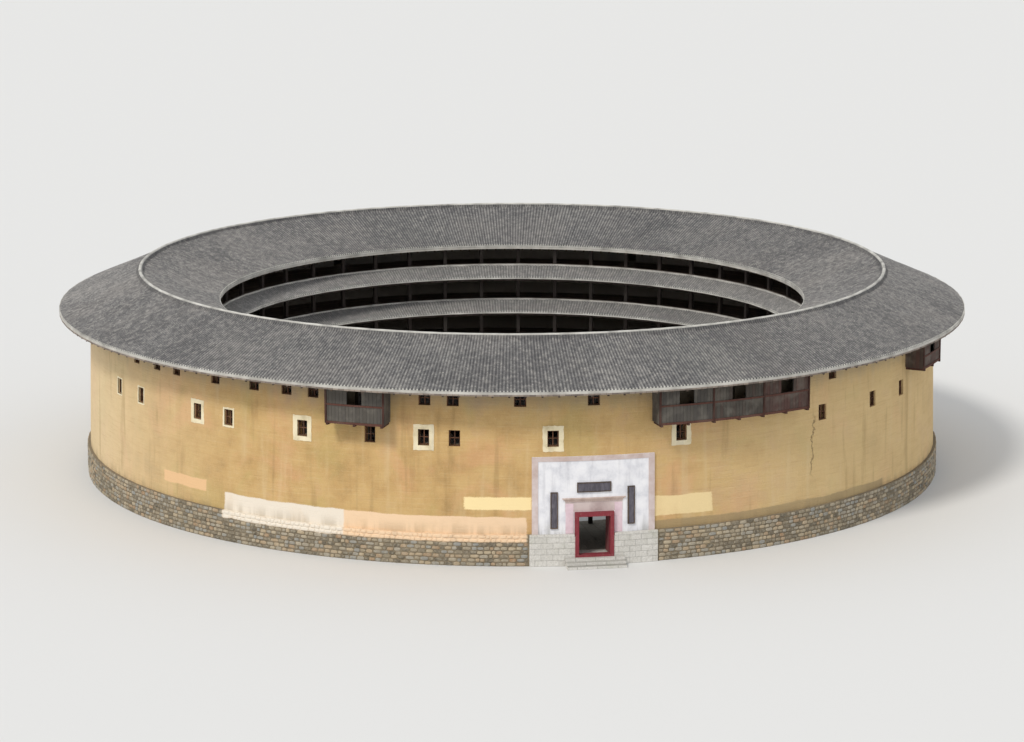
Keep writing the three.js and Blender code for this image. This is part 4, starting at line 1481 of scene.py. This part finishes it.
def flag_finish():
    job = Finish("platform_flags", 0.9)
    slabs, rows = job.angle * (1 / FLAG_ANGLE), job.radius / FLAG_DEEP
    grain = job.cloud(10, 5, rough=0.65)
    seams = slabs.off_whole().fall(0.0, 0.02).math("MAXIMUM", rows.off_whole().fall(0.0, 0.03))
    colour = job.ramp(grain, (0.3, "7f7a70"), (0.7, "a49e92"))
    colour = job.mix(job.chance(slabs.floor(), rows.floor()) * 0.3, colour, "6f6a60")
    colour = job.mix(seams * 0.6, colour, "4d4a43")
    return job.done(colour, grain * 0.4 - seams, 0.01, 0.7)


def floor_finish():
    job = Finish("floor_boards", 0.8)
    board = job.radius / FLOOR_BOARD
    gap = board.off_whole().fall(0.0, 0.05)
    along = job.joined(job.angle * 0.15, job.radius * 9, job.z * 9)
    fibres = job.cloud(5, 6, where=along, rough=0.6)
    each = fibres * 0.6 + job.chance(board.floor(), 0.0) * 0.4
    colour = job.ramp(each, (0.25, "685b50"), (0.75, "978778"))
    return job.done(job.mix(gap * 0.8, colour, "1d1814"), fibres * 0.3 - gap, 0.006, 0.7)


def roof_board_finish():
    job = Finish("roof_boarding", 0.85)
    board = job.angle * (ROOF_BOARDS / 360)
    gap = board.off_whole().fall(0.0, 0.04)
    along = job.joined(job.angle * 1.6, job.radius * 0.8, job.z)
    fibres = job.cloud(5, 5, where=along)
    each = fibres * 0.5 + job.chance(board.floor(), 0.0) * 0.5
    colour = job.ramp(each, (0.25, "6a6059"), (0.75, "998d82"))
    colour = job.mix(gap * 0.8, colour, "191512")
    rims = job.radius.rise(OUTER_RIM["radius"], OUTER_RIM["radius"] + 0.006)
    rims = rims * job.z.rise(OUTER_RIM["height"], OUTER_RIM["height"] + 0.01)
    rims = rims + job.radius.fall(INNER_RIM, INNER_RIM + 0.006)
    lime = job.ramp(job.cloud(1.4, 6), (0.3, "a19e97"), (0.65, "d0cdc5"))
    return job.done(job.mix(rims * 0.9, colour, lime), fibres * 0.3 - gap, 0.006, 0.6)


FLOOR_BOARDS = floor_finish()
ROOF_BOARDING = roof_board_finish()
FLAGS = flag_finish()

# %% [markdown]
# ## Finishes on the solid model
# Most solids are already the right shape, so they keep it and only get a finish. Assigning fifty
# materials by hand invites a slip. A short table pairs the start of each name with its material,
# and a check tells of any node that was missed.

# %% Finish the solids
NODE_FINISHES = {
    "earth_wall": EARTH, "stone_plinth": MORTAR,
    "ground_floor": FLAGS, "second_floor": FLOOR_BOARDS, "third_floor": FLOOR_BOARDS,
    "fourth_floor": FLOOR_BOARDS,
    "ring_beam": TIMBER_ROUND, "gallery_posts": TIMBER_UP, "gallery_parapet": TIMBER_ROUND,
    "roof_outer_slope": ROOF_BOARDING, "roof_inner_slope": ROOF_BOARDING, "waist_eave": TIMBER_ROUND,
    "lookout": BOARDS, "back_lookout": BOARDS,
    "portal_plaster": PLASTER, "portal_stone": PORTAL_STONE,
    "name_board": LACQUER, "couplet_board": LACQUER,
    "threshold_stone": STEPS, "door_steps": STEPS, "door_frame": RED, "door_leaf": DOOR,
}

missed = []
for name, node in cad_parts.items():
    finish = next((f for start, f in NODE_FINISHES.items() if name.startswith(start)), None)
    if finish is None:
        missed.append(name)
        continue
    for slot in node.material_slots:
        slot.material = finish
print("nodes without a finish:", missed)

# %% [markdown]
# ## Camera
# The view is from the hillside across the valley: about twelve degrees above level, ten degrees to
# the left of the doorway, and far off. A short lens close by would spread the ring. A long lens
# flattens it into the ellipse that is seen from over there.

# %% Camera
CAMERA_AT = Vector((-23.7, -134.5, 32.05))
AIM_AT = Vector((0.0, 0.0, 3.5))
camera_data = bpy.data.cameras.new("camera")
camera_data.lens = 125
camera_data.sensor_width = 36
camera_data.clip_end = 2000
camera = bpy.data.objects.new("camera", camera_data)
camera.location = CAMERA_AT
camera.rotation_euler = (AIM_AT - CAMERA_AT).to_track_quat("-Z", "Y").to_euler()
bpy.context.scene.collection.objects.link(camera)
bpy.context.scene.camera = camera
print("camera", round((AIM_AT - CAMERA_AT).length, 1), "m away")

# %% [markdown]
# ## Light
# The house is seen on a hazy day. One broad sun gives the eaves their shadow on the wall, and a pale
# world fills it. Several area lamps would make several shadows round so large a ring. The Standard
# view keeps the colours as they were mixed.

# %% Light
world = bpy.data.worlds.new("soft_sky")
world.use_nodes = True
sky = world.node_tree.nodes["Background"]
sky.inputs["Color"].default_value = (0.9, 0.92, 0.95, 1.0)
sky.inputs["Strength"].default_value = 0.78
bpy.context.scene.world = world
bpy.context.scene.view_settings.view_transform = "Standard"

sun_data = bpy.data.lights.new("broad_sun", "SUN")
sun_data.energy = 1.75
sun_data.angle = math.radians(12)
sun_data.color = (1.0, 0.96, 0.9)
sun = bpy.data.objects.new("broad_sun", sun_data)
sun.rotation_euler = (math.radians(42), 0, math.radians(-44))
bpy.context.scene.collection.objects.link(sun)
print("sun", sun_data.energy, "sky", sky.inputs["Strength"].default_value)

# %% [markdown]
# ## Floor
# A plain pale floor keeps attention on the house and shows where its foot is. It is no part of the house. It
# lies a millimetre low, so that it doesn't flicker through the platform's underside.

# %% Floor
FLOOR_HALF, FLOOR_LEVEL = 600.0, -0.001
floor_mesh = bpy.data.meshes.new("studio_floor")
CORNERS = [(-1, -1), (1, -1), (1, 1), (-1, 1)]
floor_points = [(x * FLOOR_HALF, y * FLOOR_HALF, FLOOR_LEVEL) for x, y in CORNERS]
floor_mesh.from_pydata(floor_points, [], [(0, 1, 2, 3)])
pale = Finish("pale_floor", 0.9)
pale.shader.inputs["Base Color"].default_value = (0.72, 0.72, 0.71, 1.0)
floor_mesh.materials.append(pale.material)
studio_floor = bpy.data.objects.new("studio_floor", floor_mesh)
bpy.context.scene.collection.objects.link(studio_floor)
print("floor", 2 * FLOOR_HALF, "m wide")

# %% [markdown]
